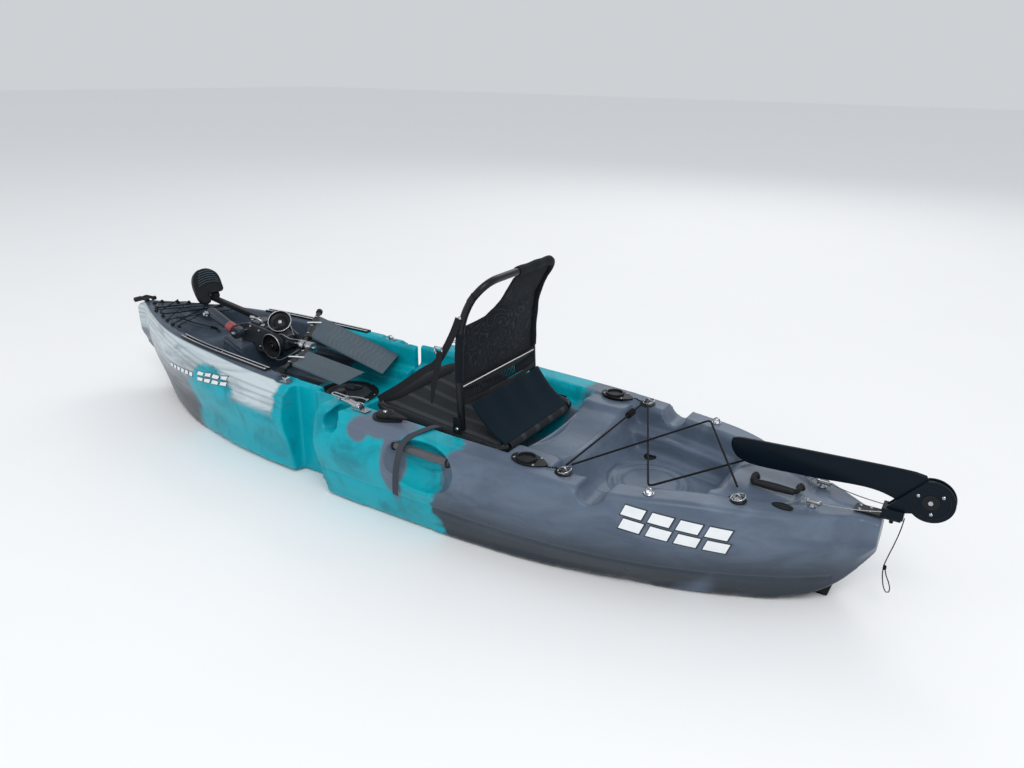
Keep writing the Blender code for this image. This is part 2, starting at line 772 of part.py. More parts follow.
def seat_base():
    half = SEAT_HALF
    corners = [(SEAT_FRONT_X, half), (SEAT_REAR_X, half), (SEAT_REAR_X, -half), (SEAT_FRONT_X, -half)]
    path = []
    count = len(corners)
    for i in range(count):
        here = Vector(corners[i])
        before = here + (Vector(corners[i - 1]) - here).normalized() * 0.035
        after = here + (Vector(corners[(i + 1) % count]) - here).normalized() * 0.035
        for k in range(4):
            t = k / 3
            point = before.lerp(here, t).lerp(here.lerp(after, t), t)
            path.append((point.x, point.y, seat_line(point.x)))
    pipe("seat_base_frame", path, TUBE_R, ALLOY, closed=True)
    inner = half - TUBE_R - 0.002
    x0 = SEAT_REAR_X + TUBE_R + 0.002
    x1 = SEAT_FRONT_X - TUBE_R - 0.002
    corner = 0.024
    plan = [(x0, -inner + corner), (x0 + corner, -inner), (x1 - corner, -inner), (x1, -inner + corner),
            (x1, inner - corner), (x1 - corner, inner), (x0 + corner, inner), (x0, inner - corner)]
    loops = [[(x, y, seat_line(x) + rise) for x, y in plan] for rise in (-0.004, 0.006)]
    add("seat_sling", loft(loops), FABRIC)


def seat_back():
    """Fold-down back: a bent tube with a mesh panel in it."""
    hx, hz = SEAT_HINGE
    origin = (hx, 0.0, hz)
    half = 0.211
    low = seat_line(hx) + TUBE_R + 0.006
    points = [(hx, half, low), (hx + 0.012, half, 0.50), (hx - 0.002, half, 0.66),
              (-0.410, half, 0.758), (-0.410, -half, 0.758), (hx - 0.002, -half, 0.66),
              (hx + 0.012, -half, 0.50), (hx, -half, low)]
    pipe("seat_back_frame", rounded(points, 0.075, 4), 0.0115, ALLOY, origin)
    inner = half - 0.014
    panel = [(hx + 0.002, -inner, 0.370), (hx + 0.008, -inner, 0.500), (hx - 0.006, -inner, 0.640),
             (hx - 0.056, -inner, 0.732), (hx - 0.062, -inner, 0.728), (hx - 0.013, -inner, 0.636),
             (hx + 0.001, -inner, 0.500), (hx - 0.005, -inner, 0.370)]
    back = add("seat_back_panel", prism(panel, (0.0, 2 * inner, 0.0)), FABRIC, origin)
    cut(back, "panel_corners", both_sides(panel_corner))
    rear = [(SEAT_REAR_X + 0.016, -inner, seat_line(SEAT_REAR_X) + 0.020), (hx - 0.020, -inner, 0.352),
            (hx - 0.026, -inner, 0.357), (SEAT_REAR_X + 0.009, -inner, seat_line(SEAT_REAR_X) + 0.025)]
    add("seat_rear_panel", prism(rear, (0.0, 2 * inner, 0.0)), FABRIC)
    for word, side in SIDES:
        y = side * (SEAT_HALF + 0.018)
        strap = [(SEAT_FRONT_X - 0.030, y - 0.001, 0.333), (hx + 0.022, y - 0.001, 0.535),
                 (hx + 0.020, y - 0.001, 0.560), (SEAT_FRONT_X - 0.012, y - 0.001, 0.340)]
        add(f"seat_strap_{word}", prism(strap, (0.0, 0.002, 0.0)), WEBBING)


def panel_corner(side):
    """Cuts the panel short of the frame's bent top corner."""
    y0 = side * 0.120
    y1 = side * 0.24
    outline = [(-0.5, y0, 0.765), (-0.5, y1, 0.765), (-0.5, y1, 0.655)]
    return prism(outline, (0.3, 0.0, 0.0))


# Pedal drive ------------------------------------------------------------------
def drive():
    drive_body()
    left_pedal_arm()
    right_pedal_arm()
    cable_drum("port_cable_drum", 0.610, 0.346, 0.0705, 0.096)
    cable_drum("starboard_cable_drum", 0.692, 0.360, -0.0305, -0.048)
    fin_set("port", (0.468, 0.500), (0.372, 0.255, 0.356), ((0.182, 0.190, 0.318), (0.205, 0.040, 0.312)))
    fin_set("starboard", (0.505, 0.537), (0.705, -0.250, 0.374),
            ((0.270, -0.225, 0.288), (0.200, -0.046, 0.280)))


def drive_body():
    """Spine that carries the axle, the drums and the fins' shaft."""
    y0 = -0.028
    y1 = 0.068
    z0 = CONSOLE[3] + 0.0008
    outline = [(0.590, y0, 0.318), (0.605, y0, 0.300), (0.716, y0, 0.300), (0.732, y0, z0),
               (0.800, y0, z0), (0.812, y0, 0.352), (0.806, y0, 0.392), (0.760, y0, 0.404),
               (0.640, y0, 0.392), (0.590, y0, 0.366)]
    spine = add("drive_spine", prism(outline, (0.0, y1 - y0, 0.0)), PLATE)
    cut(spine, "axle_bore", rod((AXLE_X, -0.2, AXLE_Z), (AXLE_X, 0.2, AXLE_Z), 0.0085, 12))
    fy, fz = FIN_AXIS
    add("drive_axle", rod((AXLE_X, -0.080, AXLE_Z), (AXLE_X, 0.132, AXLE_Z), 0.0078, 12), STEEL)
    add("fin_shaft", rod((0.460, fy, fz), (0.5895, fy, fz), 0.0075, 12), STEEL)


def cable_drum(name, x, z, y0, y1):
    add(name, ring((x, y0, z), (x, y1, z), 0.047, 0.012, 24), BLACK)


def right_pedal_arm():
    """Flat lever on the axle with the foot pedal pivoted at its far end."""
    y = -0.052
    length = 0.362
    tilt = math.radians(8.5)
    axle, along, up = arm_frame(y, tilt)
    half = 0.012
    arm = add("right_pedal_arm", arm_hub(axle), ALLOY, axle)
    side = Vector((0.0, -half, 0.0))
    near = 0.014
    outline = [axle + along * near - up * 0.012 + side, axle + along * length - up * 0.009 + side,
               axle + along * length + up * 0.009 + side, axle + along * near + up * 0.012 + side]
    fuse(arm, "right_arm_bar", prism(outline, (0.0, half * 2, 0.0)))
    tip = axle + along * (length - 0.010)
    fuse(arm, "right_pedal_pin", rod(tip, tip - Vector((0.0, 0.040, 0.0)), 0.005, 8))
    pedal(tip, tilt + math.radians(62.0))


def left_pedal_arm():
    """Short round lever on the axle with a bare pedal pin at its end."""
    axle, along, up = arm_frame(0.104, math.radians(22.0))
    arm = add("left_pedal_arm", arm_hub(axle), ALLOY, axle)
    knee = axle + along * 0.050
    tip = axle + along * 0.150
    fuse(arm, "left_arm_root", rod(axle + along * 0.014, knee, 0.012, 12, 0.0190))
    fuse(arm, "left_arm_bar", rod(axle + along * 0.0499, tip, 0.0190, 12, 0.0200))
    fuse(arm, "left_arm_end", rod(axle + along * 0.1499, axle + along * 0.162, 0.0200, 12, 0.0120))
    fuse(arm, "left_pedal_pin", rod(tip, tip + Vector((0.0, 0.036, 0.0)), 0.0065, 8))


def arm_frame(y, tilt):
    """Axle point, direction along the lever and direction square to it."""
    along = Vector((math.cos(tilt), 0.0, math.sin(tilt)))
    up = Vector((-math.sin(tilt), 0.0, math.cos(tilt)))
    return Vector((AXLE_X, y, AXLE_Z)), along, up


def arm_hub(axle):
    half = Vector((0.0, 0.015, 0.0))
    return ring(axle - half, axle + half, 0.022, 0.0085, 16)


def pedal(tip, lean):
    """Foot plate standing up on the arm's pin, with a heel lobe beside the arm."""
    along = Vector((math.cos(lean), 0.0, math.sin(lean)))
    up = Vector((-math.sin(lean), 0.0, math.cos(lean)))
    across = Vector((0.0, 1.0, 0.0))
    hub = ring(tip - across * 0.0135, tip - across * 0.040, 0.018, 0.0056, 16)
    foot = add("right_pedal", hub, BLACK, tip)
    outline = []
    for u, w in ((0.008, -0.050), (0.008, 0.014), (-0.022, 0.020), (-0.030, 0.034), (-0.026, 0.056),
                 (-0.005, 0.070), (0.050, 0.074), (0.086, 0.062), (0.106, 0.036), (0.112, 0.004),
                 (0.104, -0.026), (0.080, -0.052), (0.040, -0.058)):
        outline.append(tip + along * u + across * w + up * 0.0130)
    fuse(foot, "foot_plate", prism(outline, up * 0.018))


def fin_set(word, hub_x, tip, trailing):
    """Fin on its mast, both turning about the fore-and-aft shaft."""
    fy, fz = FIN_AXIS
    origin = Vector((sum(hub_x) / 2, fy, fz))
    tip = Vector(tip)
    along = (tip - origin).normalized()
    hub = ring((hub_x[0], fy, fz), (hub_x[1], fy, fz), 0.021, 0.0080, 16)
    mast = add(f"{word}_fin_mast", hub, STEEL, origin)
    sideways = math.hypot(along.y, along.z)
    fuse(mast, f"{word}_mast_bar", rod(origin + along * 0.0175 / sideways, tip, 0.0075, 10))
    fuse(mast, f"{word}_mast_knob", rod(tip - along * 0.002, tip + along * 0.020, 0.013, 12))
    aft = along.cross(Vector((0.0, 0.0, 1.0))).normalized() * 0.016
    aft = aft if aft.x < 0 else -aft
    length = (tip - origin).length
    front = (origin + along * 0.22 * length + aft, origin + along * 0.86 * length + aft)
    add(f"{word}_fin", fin_solid([*front, *trailing]), FIN, origin)


def fin_solid(corners):
    """Plate that is thick along the mast and thin at the trailing edge."""
    a, b, c, d = (Vector(p) for p in corners)
    thick = Vector((0.0, 0.0, 0.0055))
    thin = Vector((0.0, 0.0, 0.0022))
    loops = [[a - thick, b - thick, b + thick, a + thick],
             [a.lerp(d, 0.5) - thin * 1.6, b.lerp(c, 0.5) - thin * 1.6,
              b.lerp(c, 0.5) + thin * 1.6, a.lerp(d, 0.5) + thin * 1.6],
             [d - thin, c - thin, c + thin, d + thin]]
    return loft(loops)


# Rudder -----------------------------------------------------------------------
def rudder():
    """Bracket on the stern, steering head, and kick-up blade laid forward on the deck."""
    x = RUDDER_POST_X
    deck = sheer(-1.44) + 0.0012
    bracket = add("rudder_bracket", box((-1.535, -0.020, deck), (-1.425, 0.020, deck + 0.006)), BLACK)
    cut(bracket, "bracket_bore", rod((x, 0, 0.2), (x, 0, 0.4), 0.0058, 12))
    low = deck + 0.0068
    head = add("rudder_head", rod((x, 0, deck - 0.016), (x, 0, low + 0.006), 0.0050, 12), BLACK,
               (x, 0.0, low))
    fuse(head, "head_block", box((x - 0.026, -0.024, low), (x + 0.026, 0.024, low + 0.024)))
    px, pz = BLADE_PIVOT
    for word, side in SIDES:
        y = sorted((side * 0.0085, side * 0.0135))
        cheek = prism(cheek_outline(y[0]), (0.0, y[1] - y[0], 0.0))
        fuse(head, f"head_cheek_{word}", cheek)
    cut(head, "pivot_bore", rod((px, -0.1, pz), (px, 0.1, pz), 0.0062, 12))
    pin = add("rudder_pivot", rod((px, -0.019, pz), (px, 0.019, pz), 0.0056, 12), STEEL, (px, 0.0, pz))
    blade = add("rudder_blade", prism(blade_outline(), (0.0, 0.012, 0.0)), BLACK, (px, 0.0, pz))
    cut(blade, "blade_bore", rod((px, -0.1, pz), (px, 0.1, pz), 0.0062, 12))
    return pin


def cheek_outline(y):
    """Side plate of the steering head: a round end on a tapering arm."""
    px, pz = BLADE_PIVOT
    out = [(RUDDER_POST_X + 0.018, y, 0.286), (RUDDER_POST_X + 0.018, y, 0.304)]
    for k in range(11):
        angle = math.radians(70 + 24 * k)
        out.append((px + 0.055 * math.cos(angle), y, pz + 0.055 * math.sin(angle)))
    return out


def blade_outline():
    """Blade laid forward: a disc at the pivot and a long plate with a raked tip."""
    px, pz = BLADE_PIVOT
    y = -0.006
    out = []
    for k in range(9):
        angle = math.radians(75 + 25 * k)
        out.append((px + 0.052 * math.cos(angle), y, pz + 0.052 * math.sin(angle)))
    out += [(-1.470, y, 0.338), (-1.180, y, 0.322), (-1.118, y, 0.328), (-1.095, y, 0.345),
            (-1.088, y, 0.378), (-1.100, y, 0.392), (-1.340, y, 0.404), (-1.545, y, 0.411)]
    return out


def hanging_cord():
    """Pull cord of the rudder, knotted into a loop below the steering head."""
    points = [(-1.541, 0.0, 0.2795), (-1.540, 0.0, 0.262), (-1.537, 0.001, 0.235), (-1.531, 0.002, 0.200),
              (-1.524, 0.001, 0.165), (-1.519, 0.0, 0.135), (-1.519, -0.001, 0.110),
              (-1.523, -0.002, 0.085), (-1.529, -0.002, 0.066), (-1.536, -0.001, 0.056),
              (-1.542, 0.002, 0.060), (-1.543, 0.005, 0.074), (-1.537, 0.006, 0.092),
              (-1.529, 0.006, 0.108), (-1.524, 0.006, 0.124)]
    pipe("rudder_pull_cord", smooth_path(points, 0.006), 0.0014, CORD)


# Assembly ---------------------------------------------------------------------
stern_section()
bow_section()
skid_plate()
hatch()
gear_track("port_gear_track", 1, 0.448, 0.958)
gear_track("starboard_gear_track", -1, 0.448, 0.958)
for word, side in SIDES:
    rod_holder(f"{word}_rod_holder", side)
    pad_eye(f"{word}_pad_eye_fore", -0.726, side * 0.290, sheer(-0.726) + 0.0008)
    pad_eye(f"{word}_pad_eye_aft", -0.965, side * 0.268, sheer(-0.965) + 0.0008)
    latch(word, side)
    rudder_cleat(f"{word}_rudder_cleat", side)
    grab_handle(f"{word}_grab_handle", side, GRIP_R if side > 0 else GRIP_R_FAR)
deck_lines()
carry_handle("bow_handle", 1.448, sheer(1.46) + 0.0085, 0.017, [(0.0, 0.0), (0.052, 0.0), (0.086, -0.014)])
stern_handle()
side_controls()
seat()
drive()
rudder()
hanging_cord()
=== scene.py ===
import math

import bmesh
import bpy
import numpy as np
from mathutils import Matrix, Vector
from mathutils.bvhtree import BVHTree


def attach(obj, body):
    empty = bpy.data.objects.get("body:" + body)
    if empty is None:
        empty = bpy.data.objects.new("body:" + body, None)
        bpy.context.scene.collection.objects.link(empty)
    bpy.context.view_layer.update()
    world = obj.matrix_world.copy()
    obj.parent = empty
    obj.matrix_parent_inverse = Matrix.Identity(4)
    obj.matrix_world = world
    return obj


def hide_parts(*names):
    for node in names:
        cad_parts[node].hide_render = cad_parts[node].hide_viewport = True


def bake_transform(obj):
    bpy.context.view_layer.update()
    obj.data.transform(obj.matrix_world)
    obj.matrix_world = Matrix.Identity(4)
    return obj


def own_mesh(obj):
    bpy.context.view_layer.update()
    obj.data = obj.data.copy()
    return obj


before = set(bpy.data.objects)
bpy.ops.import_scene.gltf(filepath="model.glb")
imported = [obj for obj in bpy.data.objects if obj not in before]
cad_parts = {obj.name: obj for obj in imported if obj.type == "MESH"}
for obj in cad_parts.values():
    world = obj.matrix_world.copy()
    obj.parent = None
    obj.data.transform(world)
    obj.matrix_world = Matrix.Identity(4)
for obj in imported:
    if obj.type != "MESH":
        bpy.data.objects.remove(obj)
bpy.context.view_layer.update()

# Places are given along the hull, whose own stations start this far ahead of the frame's origin.
HX = 0.0521
HALF_BEAM = 0.385
BOW_HALF_BEAM = 0.330
SEAM_X = 0.20
SEAM_GAP = 0.0012
COCKPIT_FLOOR = 0.150
BOW_FLOOR = 0.190
TANK_FLOOR = 0.165
HATCH_X = 0.330
ROD_HOLDER = (-0.612, 0.287)
GRIP_X = -0.305
KEEPER = (0.345, 0.270)
KEEPER_DEPTH = 0.014
AXLE = (0.775, 0.372)
BLADE_PIVOT = (-1.590, 0.346)
RUDDER_POST_X = -1.513
LATCH = (-0.002, 0.316)
STEERING = (-0.120, 0.310)
LINE_KNOB = (0.080, 0.288)
FIN_SHAFT = (0.022, 0.345)
DRIVE_SIDES = (-0.028, 0.068)
PEDAL_TURN = 8.5
LEFT_ARM_TURN = 22.0
FOOT_LEAN = 70.5
SHEER = (0.322, 0.0317, -0.002)
GUNWALE = (0.0290, 0.3225)
STERN, BOW = "stern_section", "bow_section"
SIDES = (("port", 1), ("starboard", -1))
VOXEL = 0.006


# Camera ----------------------------------------------------------------------------
CAMERA_TURN = (-58.37, 21.51, 0.93)
CAMERA_PLACE = (-1.5629, 2.006, 1.313)
FOCAL_LENGTH = 799.6
IMAGE_WIDTH = 1024
SENSOR = 36


def make_camera():
    yaw, pitch, roll = (math.radians(a) for a in CAMERA_TURN)
    ahead = Vector((math.cos(yaw), math.sin(yaw), 0.0))
    right = Vector((math.sin(yaw), -math.cos(yaw), 0.0))
    up = Vector((0.0, 0.0, 1.0))
    look = ahead * math.cos(pitch) - up * math.sin(pitch)
    head = ahead * math.sin(pitch) + up * math.cos(pitch)
    side = right * math.cos(roll) + head * math.sin(roll)
    top = -right * math.sin(roll) + head * math.cos(roll)
    data = bpy.data.cameras.new("camera")
    data.lens = FOCAL_LENGTH / IMAGE_WIDTH * SENSOR
    data.sensor_width = SENSOR
    data.clip_start = 0.05
    camera = bpy.data.objects.new("camera", data)
    turn = Matrix((side, top, -look)).transposed().to_4x4()
    camera.matrix_world = Matrix.Translation(CAMERA_PLACE) @ turn
    bpy.context.scene.collection.objects.link(camera)
    bpy.context.scene.camera = camera


# Materials -------------------------------------------------------------------------
class Shader:
    """One material, with short calls for wiring its nodes."""

    def __init__(self, name, roughness=0.5, metallic=0.0):
        self.mat = bpy.data.materials.new(name)
        self.mat.use_nodes = True
        self.tree = self.mat.node_tree
        self.out = self.tree.nodes["Principled BSDF"]
        self.put(self.out.inputs["Roughness"], roughness)
        self.put(self.out.inputs["Metallic"], metallic)
        self.where = self.node("ShaderNodeTexCoord").outputs["Object"]
        split = self.node("ShaderNodeSeparateXYZ")
        self.put(split.inputs[0], self.where)
        self.x = self.minus(split.outputs[0], HX)
        self.y = split.outputs[1]
        self.z = split.outputs[2]

    def node(self, kind, **settings):
        made = self.tree.nodes.new(kind)
        for key, value in settings.items():
            setattr(made, key, value)
        return made

    def put(self, socket, value):
        if isinstance(value, bpy.types.NodeSocket):
            self.tree.links.new(value, socket)
        elif isinstance(value, tuple) and len(value) == 3 and socket.type == "RGBA":
            socket.default_value = (*value, 1.0)
        else:
            socket.default_value = value

    def math(self, operation, a, b=0.0, c=0.0):
        made = self.node("ShaderNodeMath", operation=operation)
        for socket, value in zip(made.inputs, (a, b, c)):
            self.put(socket, value)
        return made.outputs[0]

    def times(self, a, b):
        return self.math("MULTIPLY", a, b)

    def minus(self, a, b):
        return self.math("SUBTRACT", a, b)

    def scaled(self, value, by, plus):
        return self.math("MULTIPLY_ADD", value, by, plus)

    def drift(self, noise, amount, base):
        """base, pushed to both sides by a noise between 0 and 1."""
        return self.scaled(self.minus(noise, 0.5), amount, base)

    def rise(self, value, low, high):
        """0 below low, 1 above high, smooth in between."""
        made = self.node("ShaderNodeMapRange", interpolation_type="SMOOTHSTEP")
        self.put(made.inputs[0], value)
        self.put(made.inputs[1], low)
        self.put(made.inputs[2], high)
        return made.outputs[0]

    def mix(self, share, a, b):
        made = self.node("ShaderNodeMix", data_type="RGBA")
        for index, value in ((0, share), (6, a), (7, b)):
            self.put(made.inputs[index], value)
        return made.outputs[2]

    def stretched(self, scale):
        made = self.node("ShaderNodeMapping")
        self.put(made.inputs[0], self.where)
        made.inputs[3].default_value = scale
        return made.outputs[0]

    def noise(self, scale, detail=2.0, rough=0.5, stretch=None, warp=0.0):
        made = self.node("ShaderNodeTexNoise")
        self.put(made.inputs["Vector"], self.where if stretch is None else self.stretched(stretch))
        for key, value in (("Scale", scale), ("Detail", detail), ("Roughness", rough),
                           ("Distortion", warp)):
            self.put(made.inputs[key], value)
        return made.outputs[0]

    def blob(self, centre, radii, ragged=0.0, edge=0.25):
        """1 inside an ellipsoid in hull coordinates, 0 outside, with an edge roughened by noise."""
        total = None
        for value, mid, radius in zip((self.x, self.y, self.z), centre, radii):
            square = self.math("POWER", self.math("DIVIDE", self.minus(value, mid), radius), 2.0)
            total = square if total is None else self.math("ADD", total, square)
        if ragged:
            wave = self.noise(14.0, 4.0, 0.6)
            total = self.drift(wave, ragged * 4, total)
        return self.minus(1.0, self.rise(total, 1.0 - edge, 1.0 + edge))

    def bump(self, height, strength=0.3, distance=0.001, under=None):
        made = self.node("ShaderNodeBump")
        self.put(made.inputs["Height"], height)
        made.inputs["Strength"].default_value = strength
        made.inputs["Distance"].default_value = distance
        if under is not None:
            self.put(made.inputs["Normal"], under)
        return made.outputs[0]

    def finish(self, colour, bump=None, roughness=None, **inputs):
        self.put(self.out.inputs["Base Color"], colour)
        if bump is not None:
            self.put(self.out.inputs["Normal"], bump)
        if roughness is not None:
            self.put(self.out.inputs["Roughness"], roughness)
        for key, value in inputs.items():
            self.put(self.out.inputs[key.replace("_", " ")], value)
        return self.mat


CYAN = (0.0, 0.37, 0.45)
CYAN_DEEP = (0.002, 0.235, 0.300)
SLATE = (0.125, 0.165, 0.225)
SLATE_MID = (0.088, 0.118, 0.168)
# Slate in painted shade, for the low outer sides of the stern.
SLATE_SHADED = (0.030, 0.039, 0.052)
DECK_DARK = (0.055, 0.075, 0.105)
LAVENDER = (0.118, 0.150, 0.205)
PALE = (0.56, 0.64, 0.67)
ASH = (0.200, 0.230, 0.262)
STORM = (0.058, 0.070, 0.086)


def plastic_finish(s, colour):
    """Rotomoulded surface: slight orange peel, and a sheen that varies a little."""
    peel = s.noise(260.0, 2.0)
    waves = s.noise(18.0, 1.0)
    under = s.bump(waves, 0.25, 0.002)
    patchy = s.scaled(s.noise(7.0, 4.0, 0.6), 0.16, 0.22)
    return s.finish(colour, s.bump(peel, 0.10, 0.0006, under), patchy, Specular_IOR_Level=0.20)


def stern_plastic():
    s = Shader("stern_marbled_polyethylene")
    cloud = s.noise(5.0, 4.0, 0.6, (1.0, 1.6, 3.0), 0.6)
    wave = s.drift(s.noise(9.0, 3.0, 0.6), 0.16, s.x)
    slate = s.mix(s.rise(cloud, 0.30, 0.72), SLATE_MID, SLATE)
    # Painted shade: the slate darkens from about 0.25 m down to the bottom of the outer sides, kept off the
    # middle of the boat where the cockpit and tank floors lie.
    well = s.times(s.rise(s.math("ABSOLUTE", s.y), 0.235, 0.205), s.rise(s.x, -1.16, -1.10))
    low = s.drift(cloud, 0.06, s.z)
    painted_shade = s.times(s.rise(low, 0.250, 0.040), s.minus(1.0, well))
    slate = s.mix(painted_shade, slate, SLATE_SHADED)
    cyan = s.mix(s.rise(s.noise(8.0, 4.0, 0.65, None, 0.8), 0.42, 0.72), CYAN, CYAN_DEEP)
    limit = s.scaled(s.rise(s.y, 0.12, -0.12), -0.125, -0.356)
    limit = s.scaled(s.rise(s.z, 0.26, 0.32), -0.045, limit)
    # Darker in noisy patches towards the bottom of the cyan.
    low_dark_patches = s.times(s.rise(s.noise(6.0, 5.0, 0.7, (1.0, 1.0, 0.35)), 0.46, 0.75), s.rise(s.z, 0.22, 0.06))
    cyan = s.mix(s.times(low_dark_patches, 0.75), cyan, (0.045, 0.100, 0.105))
    past = s.minus(wave, limit)
    colour = s.mix(s.rise(past, -0.012, 0.012), slate, cyan)
    patches = ((-0.150, 0.350, 0.318), (0.115, 0.090, 0.034), 0.30), \
              ((-0.205, 0.400, 0.215), (0.036, 0.080, 0.120), 0.35), \
              ((-0.070, 0.388, 0.295), (0.040, 0.060, 0.036), 0.30), \
              ((-0.150, -0.380, 0.290), (0.150, 0.090, 0.060), 0.5), \
              ((-0.470, 0.000, 0.150), (0.110, 0.160, 0.030), 0.6)
    for centre, radii, ragged in patches:
        colour = s.mix(s.blob(centre, radii, ragged, 0.42), colour, LAVENDER if centre[2] > 0.16 else SLATE)
    return plastic_finish(s, colour)


def bow_plastic():
    s = Shader("bow_marbled_polyethylene")
    streak = s.noise(3.2, 5.0, 0.62, (0.8, 2.0, 4.2), 1.2)
    veins = s.noise(4.0, 4.0, 0.55, (0.6, 2.0, 3.6), 1.0)
    # The streaks are the hull's own marbling; their running pale at the top and dark lower down is painted
    # shade.
    drift = s.drift(streak, 0.26, s.z)
    marble_and_shade = s.mix(s.rise(drift, 0.11, 0.22), STORM, ASH)
    marble_and_shade = s.mix(s.rise(drift, 0.21, 0.31), marble_and_shade, PALE)
    marble_and_shade = s.mix(s.times(s.rise(veins, 0.52, 0.74), 0.5), marble_and_shade, (0.110, 0.130, 0.155))
    cyan = s.mix(s.rise(s.noise(8.0, 4.0, 0.65, None, 0.8), 0.42, 0.72), CYAN, CYAN_DEEP)
    wave = s.drift(s.noise(8.0, 3.0, 0.6), 0.20, s.x)
    low = s.times(s.rise(wave, 0.88, 0.82), s.rise(s.z, 0.245, 0.205))
    patch = s.blob((0.700, 0.330, 0.236), (0.140, 0.200, 0.072), 0.35)
    side_cyan = s.math("MAXIMUM", s.math("MAXIMUM", low, patch), s.rise(wave, 0.375, 0.345))
    side = s.mix(side_cyan, marble_and_shade, cyan)
    # Painted shade: darker lines along the three styling grooves below the gunwale.
    fall = s.scaled(s.rise(s.x, 0.6, 1.2), -0.024, 0.030)
    depth = s.minus(s.scaled(s.x, *GUNWALE), s.math("ADD", fall, s.z))
    for middle in (0.008, 0.028, 0.047):
        near = s.rise(s.math("ABSOLUTE", s.minus(depth, middle)), 0.0065, 0.0010)
        side = s.mix(s.times(near, 0.30), side, (0.090, 0.120, 0.145))
    deck_slate = s.mix(s.rise(streak, 0.35, 0.7), DECK_DARK, (0.080, 0.108, 0.145))
    limit = s.scaled(s.rise(s.y, -0.18, -0.23), 0.22, 0.385)
    limit = s.scaled(s.rise(s.z, 0.30, 0.22), 0.09, limit)
    deck = s.mix(s.rise(s.minus(limit, wave), -0.012, 0.012), deck_slate, cyan)
    along = s.math("DIVIDE", s.math("MAXIMUM", s.minus(s.x, 0.25), 0.0), 1.25)
    edge = s.scaled(s.math("POWER", along, 2.25), -BOW_HALF_BEAM, BOW_HALF_BEAM)
    out = s.minus(s.math("ABSOLUTE", s.y), edge)
    below_top = s.minus(s.scaled(s.x, *GUNWALE), s.z)
    outer = s.times(s.rise(out, -0.040, -0.034), s.rise(below_top, 0.004, 0.009))
    under = s.rise(s.z, 0.176, 0.160)
    return plastic_finish(s, s.mix(s.math("MAXIMUM", outer, under), deck, side))


def simple(name, low, high, roughness, scale=40.0, metallic=0.0, bump=0.15, grain=220.0, **inputs):
    """Two close colours mixed by noise, with a fine grain in the surface."""
    s = Shader(name, roughness, metallic)
    colour = s.mix(s.noise(scale, 4.0, 0.6), low, high)
    worn = s.scaled(s.noise(scale * 0.6, 3.0), 0.16, roughness - 0.08)
    return s.finish(colour, s.bump(s.noise(grain, 3.0), bump, 0.0006), worn, **inputs)


def brushed_steel():
    s = Shader("brushed_steel", 0.22, 1.0)
    lines = s.noise(60.0, 4.0, 0.6, (1.0, 14.0, 14.0))
    colour = s.mix(lines, (0.26, 0.27, 0.29), (0.60, 0.61, 0.63))
    return s.finish(colour, s.bump(lines, 0.08, 0.0004), s.scaled(lines, 0.2, 0.12))


def weave(name, low, high, pitch=0.0016, contours=False, stripes=None):
    """Over-and-under cloth; it may carry faint contour lines or paler stripes along one axis."""
    s = Shader(name, 0.85)
    turn = 2 * math.pi / pitch
    warp = s.math("SINE", s.times(s.y, turn))
    weft = s.math("SINE", s.times(s.math("ADD", s.z, s.x), turn))
    threads = s.scaled(s.times(warp, weft), 0.5, 0.5)
    colour = s.mix(threads, low, high)
    if contours:
        levels = s.times(s.noise(13.0, 1.0, 0.4, (1.0, 1.0, 1.0), 0.5), 11.0)
        line = s.math("ABSOLUTE", s.minus(s.math("FRACT", levels), 0.5))
        centred = s.blob((-0.34, 0.0, 0.57), (0.4, 0.20, 0.13), 0.0, 0.4)
        faint = s.times(s.times(s.rise(line, 0.13, 0.04), 0.50), centred)
        colour = s.mix(faint, colour, (0.050, 0.062, 0.074))
    if stripes:
        wave = s.math("SINE", s.times(s.y if stripes[0] == "y" else s.x, 2 * math.pi / stripes[1]))
        colour = s.mix(s.times(s.rise(wave, 0.55, 0.80), 0.7), colour, stripes[2])
    dust = s.noise(30.0, 4.0, 0.7)
    colour = s.mix(s.times(s.rise(dust, 0.55, 0.8), 0.35), colour, high)
    return s.finish(colour, s.bump(threads, 0.5, 0.0006), None, Sheen_Weight=0.06, Sheen_Roughness=0.5,
                    Specular_IOR_Level=0.06)


